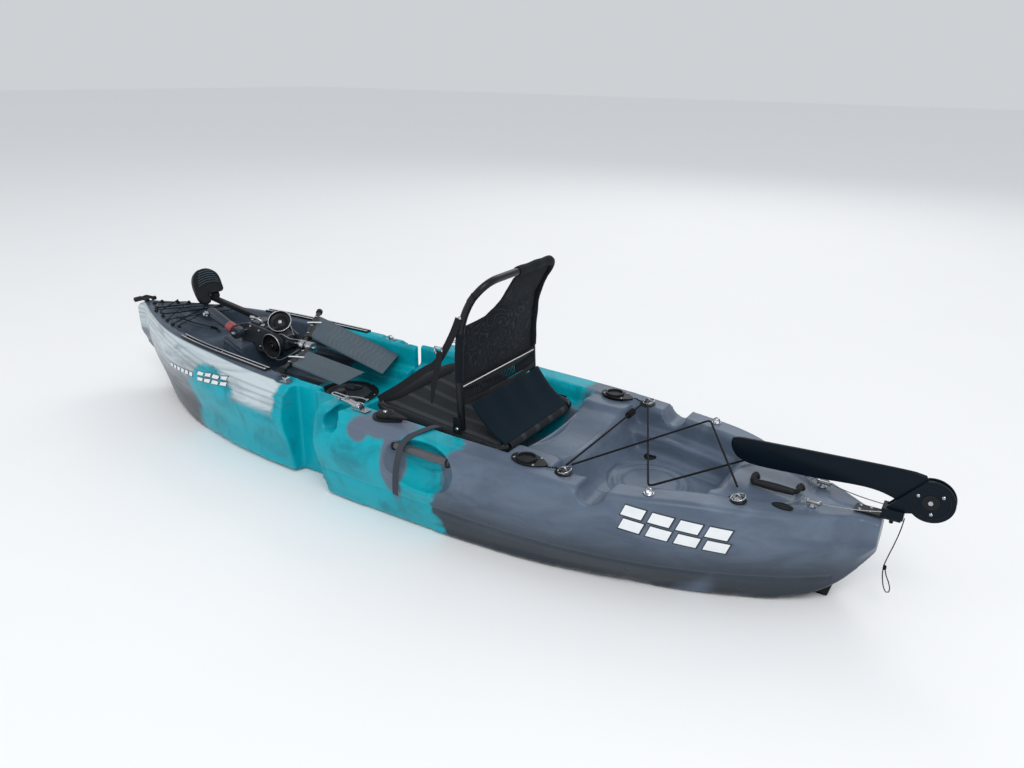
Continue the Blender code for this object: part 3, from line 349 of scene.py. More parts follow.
def make_materials():
    mats = {
        "stern": stern_plastic(),
        "bow": bow_plastic(),
        "black": simple("black_moulded_plastic", (0.006, 0.007, 0.008), (0.016, 0.018, 0.021), 0.40,
                        Specular_IOR_Level=0.16),
        "blade": simple("rudder_blade_plastic", (0.0015, 0.005, 0.010), (0.004, 0.010, 0.018), 0.36, 12.0,
                        Specular_IOR_Level=0.12),
        "rubber": simple("grip_rubber", (0.010, 0.011, 0.013), (0.024, 0.026, 0.030), 0.52, 60.0, bump=0.3,
                         Specular_IOR_Level=0.18),
        "tube": simple("anodised_tube", (0.008, 0.009, 0.011), (0.020, 0.023, 0.028), 0.34, 30.0, 0.35,
                       Specular_IOR_Level=0.28),
        "steel": brushed_steel(),
        "alloy": simple("pale_alloy", (0.42, 0.44, 0.47), (0.62, 0.64, 0.66), 0.30, 50.0, 0.9),
        "grip_tube": simple("grey_grip_tube", (0.050, 0.053, 0.060), (0.085, 0.090, 0.100), 0.30, 25.0),
        "arm": simple("grey_blue_arm", (0.020, 0.028, 0.040), (0.040, 0.054, 0.072), 0.32, 25.0, 0.20),
        "plate": simple("grey_drive_casting", (0.022, 0.027, 0.034), (0.060, 0.068, 0.080), 0.38, 30.0,
                        0.30),
        "fin": simple("grey_fin_rubber", (0.040, 0.064, 0.084), (0.068, 0.100, 0.126), 0.45, 18.0,
                      Specular_IOR_Level=0.22),
        "red": simple("red_collar", (0.20, 0.030, 0.040), (0.36, 0.085, 0.095), 0.40, 60.0),
        "lid": simple("hatch_lid_plastic", (0.034, 0.039, 0.048), (0.056, 0.062, 0.072), 0.46, 22.0,
                      grain=700.0),
        "cord": weave("braided_cord", (0.004, 0.004, 0.005), (0.014, 0.015, 0.017), 0.0022),
        "mesh": weave("seat_back_mesh", (0.004, 0.006, 0.010), (0.014, 0.018, 0.024), 0.0022,
                      contours=True),
        "navy": weave("lower_back_cloth", (0.002, 0.008, 0.014), (0.006, 0.017, 0.028), 0.0018),
        "sling": weave("sling_cloth", (0.010, 0.013, 0.016), (0.026, 0.031, 0.036), 0.0024, False,
                       ("y", 0.082, (0.050, 0.058, 0.066))),
        "pad": weave("front_pad_cloth", (0.008, 0.010, 0.012), (0.020, 0.023, 0.027), 0.0020),
        "webbing": weave("black_webbing", (0.007, 0.008, 0.010), (0.024, 0.026, 0.030), 0.0028),
        "grey_webbing": weave("grey_webbing", (0.030, 0.036, 0.048), (0.070, 0.078, 0.096), 0.0026),
        "piping": simple("white_piping", (0.62, 0.66, 0.68), (0.82, 0.85, 0.86), 0.6, 90.0),
        "ink": simple("stripe_outline", (0.012, 0.018, 0.024), (0.03, 0.036, 0.042), 0.4, 40.0),
        "white": simple("stripe_white", (0.70, 0.74, 0.76), (0.86, 0.88, 0.89), 0.35, 30.0),
        "cable": simple("coated_cable", (0.10, 0.11, 0.12), (0.42, 0.44, 0.46), 0.35, 120.0, 0.6),
    }
    return mats


# Mesh building ---------------------------------------------------------------------
def mm(*points):
    """Points given in millimetres, in metres."""
    return [tuple(value / 1000 for value in point) for point in points]


def circle(count):
    """(cosine, sine) of evenly spaced angles."""
    angles = [2 * math.pi * k / count for k in range(count)]
    return [(math.cos(a), math.sin(a)) for a in angles]


def arc(start, turn, count):
    """(cosine, sine) along an arc, in degrees."""
    angles = [math.radians(start + turn * k / count) for k in range(count + 1)]
    return [(math.cos(a), math.sin(a)) for a in angles]


def quads(bm, grid, keep=None):
    """Faces over a grid of vertices; keep(i, j) says which cells have one."""
    for j, (near, far) in enumerate(zip(grid, grid[1:])):
        for i in range(len(near) - 1):
            if keep is None or keep(i, j):
                bm.faces.new((near[i], near[i + 1], far[i + 1], far[i]))


def bridge(bm, first, second):
    count = len(first)
    for k in range(count):
        nxt = (k + 1) % count
        bm.faces.new((first[k], first[nxt], second[nxt], second[k]))


def loft(loops, capped=True):
    """Skin through loops of points, closed at both ends."""
    bm = bmesh.new()
    rows = [[bm.verts.new(p) for p in loop] for loop in loops]
    for first, second in zip(rows, rows[1:]):
        bridge(bm, first, second)
    if capped:
        bm.faces.new(rows[0])
        bm.faces.new(list(reversed(rows[-1])))
    return bm


def swept(loops, closed):
    """Solid through loops; a closed one runs back into its first loop."""
    if not closed:
        return loft(loops)
    bm = loft([*loops, loops[0]], capped=False)
    bmesh.ops.remove_doubles(bm, verts=bm.verts, dist=1e-7)
    return bm


def placed(origin, axis):
    turn = Vector(axis).to_track_quat("Z", "Y").to_matrix().to_4x4()
    return Matrix.Translation(origin) @ turn


def lathe(profile, origin, axis=(0, 0, 1), sides=40, closed=False):
    """Turned solid: (radius, height) pairs about an axis; a closed profile makes a ring."""
    place = placed(origin, axis)
    return swept([[place @ Vector((radius * c, radius * s, height)) for c, s in circle(sides)]
                  for radius, height in profile], closed)


def rod(start, end, radius, sides=24, tip=None, round_off=0.0):
    """Round bar between two points, with its two edges rounded over."""
    start, end = Vector(start), Vector(end)
    tip = radius if tip is None else tip
    length = (end - start).length
    r = min(round_off, radius * 0.9, tip * 0.9, length * 0.45)
    if r <= 0:
        profile = [(radius, 0.0), (tip, length)]
    else:
        profile = [(radius - r + r * s, r - r * c) for c, s in arc(0, 90, 3)]
        profile += [(tip - r + r * c, length - r + r * s) for c, s in arc(0, 90, 3)]
    return lathe(profile, start, end - start, sides)


def box(lo, hi):
    lo, hi = Vector(lo), Vector(hi)
    bm = bmesh.new()
    bmesh.ops.create_cube(bm, size=1.0)
    bm.transform(Matrix.Translation((lo + hi) / 2) @ Matrix.Diagonal((*(hi - lo), 1.0)))
    return bm


def prism(outline, offset):
    return loft([[Vector(p) for p in outline], [Vector(p) + Vector(offset) for p in outline]])


def side_plate(outline, y, thick, x=0.0, z=0.0):
    """Plate across the boat: an (x, z) outline from x, z, and from y to y + thick."""
    return prism([(x + u, y, z + w) for u, w in outline], (0, thick, 0))


def smooth_path(points, step, closed=False):
    """Catmull-Rom curve through the points, with a point about every step."""
    pts = [Vector(p) for p in points]
    count = len(pts)
    out = []
    for i in range(count if closed else count - 1):
        b, c = pts[i], pts[(i + 1) % count]
        a = pts[(i - 1) % count] if closed or i > 0 else b + (b - c)
        d = pts[(i + 2) % count] if closed or i + 2 < count else c + (c - b)
        steps = max(1, round((c - b).length / step))
        for k in range(steps):
            t = k / steps
            out.append(0.5 * (2 * b + (c - a) * t + (2 * a - 5 * b + 4 * c - d) * t * t
                              + (3 * b - a - 3 * c + d) * t ** 3))
    if not closed:
        out.append(pts[-1])
    return out


def rounded(points, radius, steps=6, closed=False):
    """Path with each corner replaced by an arc-like bend."""
    pts = [Vector(p) for p in points]
    if closed:
        pts = [pts[-1], *pts, pts[0]]
    out = [] if closed else [pts[0]]
    for before, corner, after in zip(pts, pts[1:], pts[2:]):
        a = corner + (before - corner).normalized() * radius
        c = corner + (after - corner).normalized() * radius
        for k in range(steps + 1):
            t = k / steps
            out.append(a.lerp(corner, t).lerp(corner.lerp(c, t), t))
    return out if closed else [*out, pts[-1]]


def section_sweep(points, section, closed=False, side=None):
    """Sweeps section(k) -> list of (across, up) along points; side fixes which way is across."""
    pts = [Vector(p) for p in points]
    count = len(pts)
    loops = []
    across = None
    for k, point in enumerate(pts):
        before = pts[(k - 1) % count] if closed or k else pts[0]
        after = pts[(k + 1) % count] if closed or k + 1 < count else pts[-1]
        ahead = (after - before).normalized()
        if side is not None:
            across = Vector(side)
        elif across is None:
            across = ahead.orthogonal()
        across = (across - ahead * across.dot(ahead)).normalized()
        up = ahead.cross(across)
        loops.append([point + across * u + up * v for u, v in section(k)])
    return swept(loops, closed)


def tube(points, radius, sides=12, closed=False):
    """Round bar along a path; radius is a number or one value for each point."""
    def section(k):
        r = radius[k] if isinstance(radius, (list, tuple)) else radius
        return [(r * c, r * s) for c, s in circle(sides)]
    return section_sweep(points, section, closed, (0, 1, 0) if closed else None)


def ribbon(points, width, thick, side=(0, 1, 0)):
    """Flat strap along a path; width is a number or one value for each point."""
    def section(k):
        w = (width[k] if isinstance(width, (list, tuple)) else width) / 2
        t = thick / 2
        return [(-w, -t), (w, -t), (w, t), (-w, t)]
    return section_sweep(points, section, False, side)


def ring_of(centre, axis, radius, thick, turns=40, sides=10):
    place = placed(centre, axis)
    path = [place @ Vector((radius * c, radius * s, 0.0)) for c, s in circle(turns)]
    normal = (place.to_3x3() @ Vector((0, 0, 1))).normalized()
    section = [(thick * c, thick * s) for c, s in circle(sides)]
    return section_sweep(path, lambda k: section, True, normal)


def slab(surface, nu, nv, thickness, relief):
    """Closed plate over surface(u, v); relief(u, v) lifts its upper face."""
    bm = bmesh.new()
    rims = []
    for top in (True, False):
        def vertex(u, v):
            lift = thickness(u, v) + relief(u, v) if top else -thickness(u, v)
            return bm.verts.new(Vector(surface(u, v)) + Vector((0.0, 0.0, lift)))
        grid = [[vertex(i / nu, j / nv) for i in range(nu + 1)] for j in range(nv + 1)]
        quads(bm, grid)
        rims.append(grid[0][:-1] + [row[-1] for row in grid[:-1]] + grid[-1][:0:-1]
                    + [row[0] for row in grid[:0:-1]])
    bridge(bm, *rims)
    return bm


def joined(name, parts, shift=0.0):
    """One object from several solids, moved ahead by shift."""
    mesh = bpy.data.meshes.new(name)
    whole = bmesh.new()
    for part in parts:
        bmesh.ops.recalc_face_normals(part, faces=part.faces)
        part.to_mesh(mesh)
        whole.from_mesh(mesh)
        part.free()
    whole.transform(Matrix.Translation((shift, 0.0, 0.0)))
    whole.to_mesh(mesh)
    whole.free()
    return bpy.data.objects.new(name, mesh)


def piece(name, parts, mat, body, nodes=(), sharp=38.0, bevel=0.0, steps=2):
    """Joins solids given along the hull into one named piece that rides on a body."""
    return dressed(joined(name, parts, HX), mat, body, nodes, sharp, bevel, steps)


def dressed(obj, mat, body, nodes=(), sharp=38.0, bevel=0.0, steps=2):
    """Gives a new object its material, edges, body and the CAD nodes that it stands for."""
    bpy.context.scene.collection.objects.link(obj)
    obj.data.materials.clear()
    obj.data.materials.append(MATS[mat])
    obj.data.shade_smooth()
    if sharp:
        obj.data.set_sharp_from_angle(angle=math.radians(sharp))
    if bevel:
        mod = obj.modifiers.new("edges", "BEVEL")
        mod.width = bevel
        mod.segments = steps
        mod.limit_method = "ANGLE"
        mod.angle_limit = math.radians(32)
        mod.harden_normals = True
    if body:
        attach(obj, body)
    if nodes:
        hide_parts(*nodes)
    return obj


def screw(x, y, z, axis=(0, 0, 1), radius=0.0045):
    """Domed screw head standing on a surface, with a slot round its middle."""
    r = radius
    return lathe([(0.0001, r * 0.55), (r * 0.28, r * 0.42), (r * 0.34, r * 0.60), (r * 0.72, r * 0.52),
                  (r, r * 0.20), (r, 0.0), (0.0001, -r * 0.3)], (x, y, z), axis, 14)


# Hull ------------------------------------------------------------------------------
def ramp(x, start, end, low, high):
    t = min(1.0, max(0.0, (x - start) / (end - start)))
    return low + (high - low) * t * t * (3 - 2 * t)


def sheer(x):
    hump = 0.012 * math.exp(-((x + 1.06) / 0.13) ** 2)
    return SHEER[0] + SHEER[1] * x + SHEER[2] * x * x + hump - ramp(x, 1.46, 1.51, 0.0, 0.018)


def shoulder(x):
    if x > SEAM_X:
        return ramp(x, 0.6, 1.2, 0.030, 0.006)
    return ramp(x, -0.40, -0.95, 0.016, 0.005)


def half_breadth(x):
    if x > 0.25:
        return max(0.026, BOW_HALF_BEAM * (1 - ((x - 0.25) / 1.25) ** 2.25))
    if x > SEAM_X:
        return BOW_HALF_BEAM
    if x > -0.25:
        return ramp(x, -0.15, 0.2, HALF_BEAM, 0.378)
    return max(0.045, HALF_BEAM * (1 - ((-0.25 - x) / 1.25) ** 2.8))


def keel(x):
    if x > 0.86:
        return 0.17 * ((x - 0.86) / 0.65) ** 2.8
    if x < -1.12:
        return 0.17 * ((-1.12 - x) / 0.375) ** 4.5
    return 0.0


def bilge(x):
    if x > SEAM_X:
        return max(0.003, 0.295 * (1 - (max(0.0, x - 0.3) / 1.12) ** 2.2))
    if x < -0.1:
        return max(0.014, 0.345 * (1 - ((-0.1 - x) / 1.39) ** 2.6))
    return 0.345


def well_half(x):
    if x > SEAM_X:
        rail = ramp(x, 0.5, 1.15, 0.092, 0.048)
    else:
        rail = ramp(x, -0.55, -0.75, 0.110, 0.088)
    return max(0.004, half_breadth(x) - rail)


def floor_height(x):
    deck = sheer(x) - 0.006
    if x > SEAM_X:
        if x > 1.20:
            return ramp(x, 1.20, 1.38, 0.268, deck)
        return ramp(x, 0.98, 1.06, BOW_FLOOR, 0.268)
    if x > -0.55:
        return ramp(x, -0.49, -0.54, COCKPIT_FLOOR, 0.280)
    if x > -0.66:
        return 0.280
    return max(ramp(x, -0.66, -0.745, 0.280, TANK_FLOOR), ramp(x, -1.03, -1.11, TANK_FLOOR, deck))


def ledge_height(x):
    if x > SEAM_X:
        return max(0.239, floor_height(x) + 0.012)
    if x > -0.55:
        return max(0.249, floor_height(x) + 0.012)
    return max(0.225, floor_height(x) + 0.012)


def half_section(x):
    """Half of the cross-section at a station, from the keel round to the floor's middle."""
    top, bottom = sheer(x), keel(x)
    tall = top - bottom
    edge = half_breadth(x)
    flat = min(bilge(x), edge * 0.9)
    swell = 0.018 * min(1.0, edge / 0.2)
    fall = shoulder(x)
    full = ramp(x, 0.5, 1.4, 1.0, 0.95)
    inner = well_half(x)
    flat_out = min(edge - 1.5 * fall - 0.004, edge * 0.97)
    shelf, ground = ledge_height(x), floor_height(x)
    shelf_in = max(0.003, inner * 0.80)
    return [
        (0.0, bottom),
        (flat * 0.93, bottom + 0.002 * tall / 0.3),
        (min(flat + 0.6 * swell, edge * 0.94), bottom + 0.10 * tall),
        (edge * full - 0.4 * swell, bottom + 0.33 * tall),
        ((edge + swell) * (0.35 + 0.65 * full), bottom + 0.62 * tall),
        (edge + 0.6 * swell, bottom + 0.80 * tall),
        (edge, top - fall - 0.004),
        (flat_out, top),
        (inner + min(0.010, 0.3 * (flat_out - inner)), top),
        (inner, top - 0.005 if ground > top - 0.02 else top - 0.012),
        (inner * 0.985, shelf + 0.004 if shelf < top - 0.03 else top - 0.0056),
        (shelf_in, shelf if shelf < top - 0.03 else top - 0.0058),
        (shelf_in * 0.96, ground + 0.006 if ground < top - 0.03 else top - 0.0059),
        (shelf_in * 0.86, ground),
        (0.0, ground),
    ]


def hull_loops(start, end):
    """The number of points in a loop has to stay the same, so each curve is cut into even shares."""
    count = max(2, round(abs(end - start) / 0.012))
    loops = []
    for k in range(count + 1):
        x = start + (end - start) * k / count
        section = half_section(x)
        half = []
        for run, shares in ((section[:4], 12), (section[3:7], 14)):
            path = smooth_path([(0.0, y, z) for y, z in run], 0.004)
            spots = np.linspace(0, len(path) - 1, shares + 1)
            half += [path[int(round(spot))] for spot in spots[:-1]]
        half = [(p.y, p.z) for p in half] + section[6:]
        right = [(x, y, z) for y, z in half]
        loops.append(right + [(x, -y, z) for y, z in reversed(half[1:-1])])
    return loops


def both(maker):
    """Cutters on both sides of the boat as one list."""
    return [maker(1), maker(-1)]


def latch_scoop(side):
    z = sheer(0.045) - 0.026
    return rod((0.045, side * 0.300, z), (0.045, side * 0.46, z - 0.02), 0.030, 32)


def notch(side):
    inner = well_half(-0.830) - 0.030
    return rod((-0.830, side * inner, 0.296), (-0.830, side * 0.46, 0.296), 0.040, 32)


def grip_scoop(side):
    bm = bmesh.new()
    bmesh.ops.create_uvsphere(bm, u_segments=48, v_segments=24, radius=1.0)
    bm.transform(Matrix.Translation((GRIP_X, side * 0.412, 0.242))
                 @ Matrix.Diagonal((0.128, 0.075, 0.086, 1.0)))
    return bm


def corner_notch(x_lo, x_hi, inner):
    def one(side):
        y = sorted((side * inner, side * 0.5))
        return box((x_lo, y[0], -0.1), (x_hi, y[1], 0.5))
    return one


def rod_hole(side):
    x, y = ROD_HOLDER
    return rod((x, side * y, 0.16), (x, side * y, 0.36), 0.0272, 32)


def keeper_recess(side):
    x, y = KEEPER
    low = sheer(x) - KEEPER_DEPTH
    y = sorted((side * (y - 0.020), side * 0.4))
    return box((x - 0.1, y[0], low), (x + 0.035, y[1], low + 0.1))


def console():
    x0, x1, half, top = 0.735, 0.905, 0.140, 0.328
    outline = [(x0, -half), (x1, -half * 0.62), (x1, half * 0.62), (x0, half)]
    loops = []
    for z, scale in ((BOW_FLOOR - 0.02, 1.0), (top - 0.012, 0.94), (top, 0.88)):
        mid = (x0 + x1) / 2
        loops.append([(mid + (x - mid) * scale, y * scale, z) for x, y in outline])
    return loft(loops)


def helper(name, parts):
    obj = joined(name, parts)
    bpy.context.scene.collection.objects.link(obj)
    return obj


def moulded(name, loops, adds, cuts, relief, mat, body, node):
    """Hull section: loft, joined and cut blocks, then one skin whose edges are all moulded round."""
    hull = helper(name, [loft(loops)])
    shapes = []
    for k, (operation, parts) in enumerate([("UNION", p) for p in adds] + [("DIFFERENCE",
                                                                            p) for p in cuts]):
        shapes.append(helper(f"{name}_helper_{k}", parts))
        mod = hull.modifiers.new(f"shape_{k}", "BOOLEAN")
        mod.operation = operation
        mod.solver = "EXACT"
        mod.object = shapes[-1]
    remesh = hull.modifiers.new("skin", "REMESH")
    remesh.mode = "VOXEL"
    remesh.voxel_size = VOXEL
    soften = hull.modifiers.new("soften", "SMOOTH")
    soften.factor = 0.5
    soften.iterations = 3
    depsgraph = bpy.context.evaluated_depsgraph_get()
    mesh = bpy.data.meshes.new_from_object(hull.evaluated_get(depsgraph))
    for used in [*shapes, hull]:
        bpy.data.objects.remove(used, do_unlink=True)
    co, normal = np.zeros((2, len(mesh.vertices) * 3))
    mesh.vertices.foreach_get("co", co)
    mesh.vertices.foreach_get("normal", normal)
    co, normal = co.reshape(-1, 3), normal.reshape(-1, 3)
    co = co + normal * relief(co, normal)[:, None] + (HX, 0.0, 0.0)
    mesh.vertices.foreach_set("co", co.ravel())
    mesh.update()
    return dressed(bpy.data.objects.new(name, mesh), mat, body, [node], sharp=0)


def bell(value, middle, width):
    return np.exp(-((value - middle) / width) ** 2)


def line_distance(co, start, end):
    """Distance in plan from a straight line between two points, 9 m beyond its ends."""
    a, b = np.array(start), np.array(end)
    d = (b - a) / np.linalg.norm(b - a)
    rel = co[:, :2] - a
    along = rel @ d
    off = np.abs(rel[:, 0] * d[1] - rel[:, 1] * d[0])
    return np.where((along > 0) & (along < np.linalg.norm(b - a)), off, 9.0)


def stern_relief(co, normal):
    """Grooves in the tank well's floor, drain lines in the cockpit, and the saddle behind the seat."""
    x, y, z = co.T
    lift = np.zeros(len(co))
    tank = (np.abs(z - TANK_FLOOR) < 0.012) & (normal[:, 2] > 0.7)
    far = np.hypot(x + 0.855, y + 0.030)
    groove = bell(far, 0.122, 0.0060) + 0.9 * bell(far, 0.092, 0.0055)
    groove += 0.9 * bell(line_distance(co, (-0.770, -0.165), (-1.040, -0.120)), 0.0, 0.005)
    groove += 0.9 * bell(line_distance(co, (-0.770, 0.165), (-1.040, 0.120)), 0.0, 0.005)
    lift -= np.where(tank, 0.0055 * groove, 0.0)
    cabin = (np.abs(z - COCKPIT_FLOOR) < 0.012) & (normal[:, 2] > 0.7)
    for middle in (-0.12, 0.0, 0.12):
        lift += np.where(cabin, 0.004 * bell(y, middle, 0.016), 0.0)
    arc = np.hypot((x - GRIP_X) / 1.35, z - 0.272)
    scoop = (np.abs(x - GRIP_X) < 0.125) & (z < 0.262) & (z > 0.165) & (np.abs(y) > 0.32) & (np.abs(y) < 0.398)
    lift += np.where(scoop, 0.0075 * bell(arc, 0.044, 0.0085) + 0.0070 * bell(arc, 0.068, 0.0080), 0.0)
    rim = np.hypot((x - GRIP_X) / 0.124, (z - 0.242) / 0.083)
    outside = (np.abs(y) > 0.375) & (np.abs(normal[:, 1]) > 0.5)
    lift += np.where(outside, 0.0035 * bell(rim, 1.07, 0.07), 0.0)
    topside = (np.abs(normal[:, 1]) > 0.4) & (z < 0.2) & (y * normal[:, 1] > 0) & (np.abs(y) > 0.06)
    crease = 0.112 - 0.020 * np.clip(-x - 0.2, 0, 2)
    lift -= np.where(topside & (x < 0.1), 0.0035 * bell(z, crease, 0.0055), 0.0)
    ridge = (z > 0.17) & (x < -0.48) & (x > -0.76) & (np.abs(y) < 0.24)
    sink = 0.030 * np.clip((z - 0.17) / 0.11, 0, 1) * np.clip(1 - (y / 0.19) ** 2, 0, 1) ** 1.5
    lift -= np.where(ridge & (normal[:, 2] > 0.2), sink * normal[:, 2], 0.0)
    return lift


def bow_relief(co, normal):
    """Styling lines along the topside under the gunwale, and ribs in the floor."""
    x, y, z = co.T
    edge = SHEER[0] + SHEER[1] * x + SHEER[2] * x * x
    fall = np.interp(x, [0.6, 0.9, 1.2], [0.030, 0.018, 0.006])
    depth = edge - fall - z
    outer = (np.abs(normal[:, 1]) > 0.35) & (np.abs(y) > 0.04) & (x > 0.31) & (z > 0.22)
    outer &= y * normal[:, 1] > 0
    lines = bell(depth, 0.008, 0.0060) + 0.9 * bell(depth, 0.028, 0.0055) + 0.7 * bell(depth, 0.047, 0.0050)
    lift = np.where(outer, -0.0060 * lines * np.clip((1.46 - x) / 0.2, 0, 1), 0.0)
    ground = (np.abs(z - BOW_FLOOR) < 0.01) & (normal[:, 2] > 0.7) & (x > 0.45)
    lift += np.where(ground, 0.003 * bell(np.abs(y), 0.10, 0.012), 0.0)
    tray = (z > 0.255) & (z < 0.33) & (normal[:, 2] > 0.8) & (x > 1.06) & (np.abs(y) < 0.12)
    lift -= np.where(tray, 0.0025 * bell(line_distance(co, (1.10, 0.0), (1.30, 0.0)), 0.0, 0.006), 0.0)
    return lift


def build_hulls():
    tongue = [box((0.105, y - 0.024, 0.215), (0.176, y + 0.024, 0.272)) for y in (-0.342, 0.342)]
    scoops = [both(maker) for maker in (corner_notch(0.112, 0.4, 0.285), notch, latch_scoop, grip_scoop,
                                        rod_hole)]
    stern = moulded("stern_hull_skin", hull_loops(SEAM_X - SEAM_GAP, -1.495), [tongue], scoops,
                    stern_relief, "stern", STERN, "stern_hull")
    slot = [box((0.485, -0.036, -0.05), (0.715, 0.036, 0.24))]
    bow = moulded("bow_hull_skin", hull_loops(SEAM_X + SEAM_GAP, 1.51), [[console()]],
                  [both(corner_notch(0.1, 0.305, 0.262)), slot, both(keeper_recess)],
                  bow_relief, "bow", BOW, "bow_hull")
    return stern, bow


# Deck fittings ---------------------------------------------------------------------
def hatch():
    z = BOW_FLOOR
    rim = lathe(mm((84.5, -20), (90.5, -20), (90.8, 0.8), (112, 0.8), (113.2, 4), (110, 7.5), (101, 9),
                   (90.5, 8.5), (84.8, 6)), (HATCH_X, 0, z), sides=96, closed=True)
    screws = [screw(HATCH_X + 0.106 * math.cos(a), 0.106 * math.sin(a), z + 0.0082, radius=0.0032)
              for a in (math.pi / 3 * k + 0.3 for k in range(6))]
    piece("hatch_rim_ring", [rim], "black", BOW, ["hatch_rim"])
    piece("hatch_rim_screws", screws, "steel", BOW)
    lid = lathe(mm((0.1, 8), (60, 8), (63.5, 11), (69, 11.2), (72, 8.8), (80, 8.4), (82.2, 6.6),
                   (82.2, -12),
                   (0.1, -12)), (HATCH_X, 0, z), sides=96)
    piece("hatch_lid_disc", [lid], "lid", "hatch_lid", ["hatch_lid"])
    grip = (HATCH_X + 0.010, -0.044)
    ridge = lathe(mm((30, 0), (35, 0), (34.5, 3), (32.5, 4.2), (30.5, 3)),
                  (*grip, z + 0.0078), sides=64, closed=True)
    dish = lathe(mm((0.1, 0), (30.6, 0), (30.6, 1), (0.1, 0.2)), (*grip, z + 0.0078), sides=64)
    outline = [(grip[0] + 0.0285 * c, grip[1] + 0.0285 * s, z + 0.0080) for c, s in arc(-40, 180, 32)]
    bar = prism(outline, (0, 0, 0.0065))
    piece("hatch_lid_ridge", [ridge], "black", "hatch_lid")
    piece("hatch_lid_dish", [dish], "ink", "hatch_lid")
    piece("hatch_lid_grip", [bar], "lid", "hatch_lid", bevel=0.0022, steps=3)


def gear_track(word, side):
    """Slotted rail that follows the gunwale, with an end screw at each end; its bright lips are pale metal
    strips, a painted highlight.
    """
    start, end, steps = 0.448, 0.958, 34
    stations = [start + (end - start) * k / steps for k in range(steps + 1)]
    line = [Vector((x, side * (well_half(x) + 0.026), sheer(x) + 0.0008)) for x in stations]
    body = mm((-13, 0), (13, 0), (13, 5.8), (12, 7), (5.5, 7), (5.5, 2.6), (-5.5, 2.6), (-5.5, 7),
              (-12, 7), (-13, 5.8))
    across = Vector((0, 1, 0))

    def rail(profile, raise_by=0.0):
        return loft([[p + across * u + Vector((0, 0, v + raise_by)) for u, v in profile] for p in line])
    piece(f"{word}_gear_rail", [rail(body)], "black", BOW, [f"{word}_gear_track"])
    # Painted highlight: pale metal strips along the two lips of the black rail.
    lip_highlights = []
    for middle in (-0.0088, 0.0088):
        lip_highlights.append(rail([(middle - 0.0030, 0.0), (middle + 0.0030, 0.0), (middle + 0.0022, 0.0012),
                          (middle - 0.0022, 0.0012)], 0.0066))
    piece(f"{word}_gear_rail_lip_highlights", lip_highlights, "alloy", BOW)
    heads = [screw(p.x, p.y, p.z + 0.0028, radius=0.0042) for p in (line[1], line[17], line[-2])]
    piece(f"{word}_gear_rail_screws", heads, "steel", BOW)


def rod_holder(word, side):
    x, y = ROD_HOLDER[0], side * ROD_HOLDER[1]
    outline = []
    for c, s in circle(48):
        aft = max(0.0, -c)
        px = x + 0.050 * c - 0.012 * aft
        outline.append((px, y + 0.036 * s * (1 - 0.35 * aft ** 2), sheer(px) + 0.0012))
    plate = prism(outline, (0, 0, 0.0042))
    collar = lathe(mm((23.8, 0), (31, 0), (30.5, 5), (28.5, 7), (25, 7), (23.8, 5)),
                   (x + 0.004, y, sheer(x) + 0.0050), sides=48, closed=True)
    top = sheer(x) + 0.0010
    cup = lathe(mm((26.5, 0), (26.5, -147), (0.1, -150), (0.1, -144), (23.8, -142), (23.8, 5), (26.5, 5)),
                (x, y, top), sides=40)
    piece(f"{word}_rod_holder_plate", [plate], "black", STERN,
          [f"{word}_rod_holder"], bevel=0.0016)
    piece(f"{word}_rod_holder_collar", [collar, cup], "black", STERN)
    well = lathe(mm((0.1, 0), (23.6, 0), (23.6, -1), (0.1, -1)),
                 (x + 0.002, y, top + 0.0045), sides=40)
    piece(f"{word}_rod_holder_throat", [well], "ink", STERN)
    spots = mm((36, 14), (36, -14), (-30, 24), (-30, -24))
    heads = [screw(x + u, y + v, sheer(x + u) + 0.0052, radius=0.0042) for u, v in spots]
    piece(f"{word}_rod_holder_screws", heads, "steel", STERN)
    beads = []
    for k in range(9):
        px = x - 0.060 - 0.0048 * k
        py = y + side * (0.002 + 0.004 * math.sin(k * 0.8))
        pz = sheer(px) + 0.0040
        beads.append(lathe(mm((0.1, -2.6), (2, -1.8), (3, 0), (2, 1.8), (0.1, 2.6)), (px, py, pz),
                           (1, 0, 0.2), 10))
    cap = lathe(mm((0.1, 6), (10, 5.5), (12.5, 3), (12.5, 0), (0.1, 0)),
                (x - 0.112, y + side * 0.002, sheer(x - 0.112) + 0.0010), sides=32)
    piece(f"{word}_rod_cap_leash", [*beads, cap], "black", STERN)


def pad_eye(name, x, y, ring=False, stands_for=None):
    z = sheer(x) + 0.0008
    base = lathe(mm((0.1, 0), (15, 0), (15, 1.6), (13.5, 3), (0.1, 3.4)),
                 (x, y, z), sides=32)
    arch = [(x + 0.010 * c, y, z + 0.002 + 0.014 * s) for c, s in arc(0, 180, 16)]
    parts = [base, tube(arch, 0.0024, 10)]
    parts += [screw(x, y + v, z + 0.0028, radius=0.0030) for v in (-0.0088, 0.0088)]
    if ring:
        parts.append(ring_of((x - 0.003, y, z + 0.0080), (0.25, 0.1, 1.0), 0.0190, 0.0021))
    nodes = [name] if stands_for is None else stands_for
    piece(name + "_fitting", parts, "steel", STERN, nodes)
    if ring:
        pad = lathe(mm((0.1, 0), (25, 0), (25.5, 1), (23, 2.2), (0.1, 2.2)),
                    (x, y, z - 0.0012), sides=36)
        piece(name + "_gasket", [pad], "black", STERN)


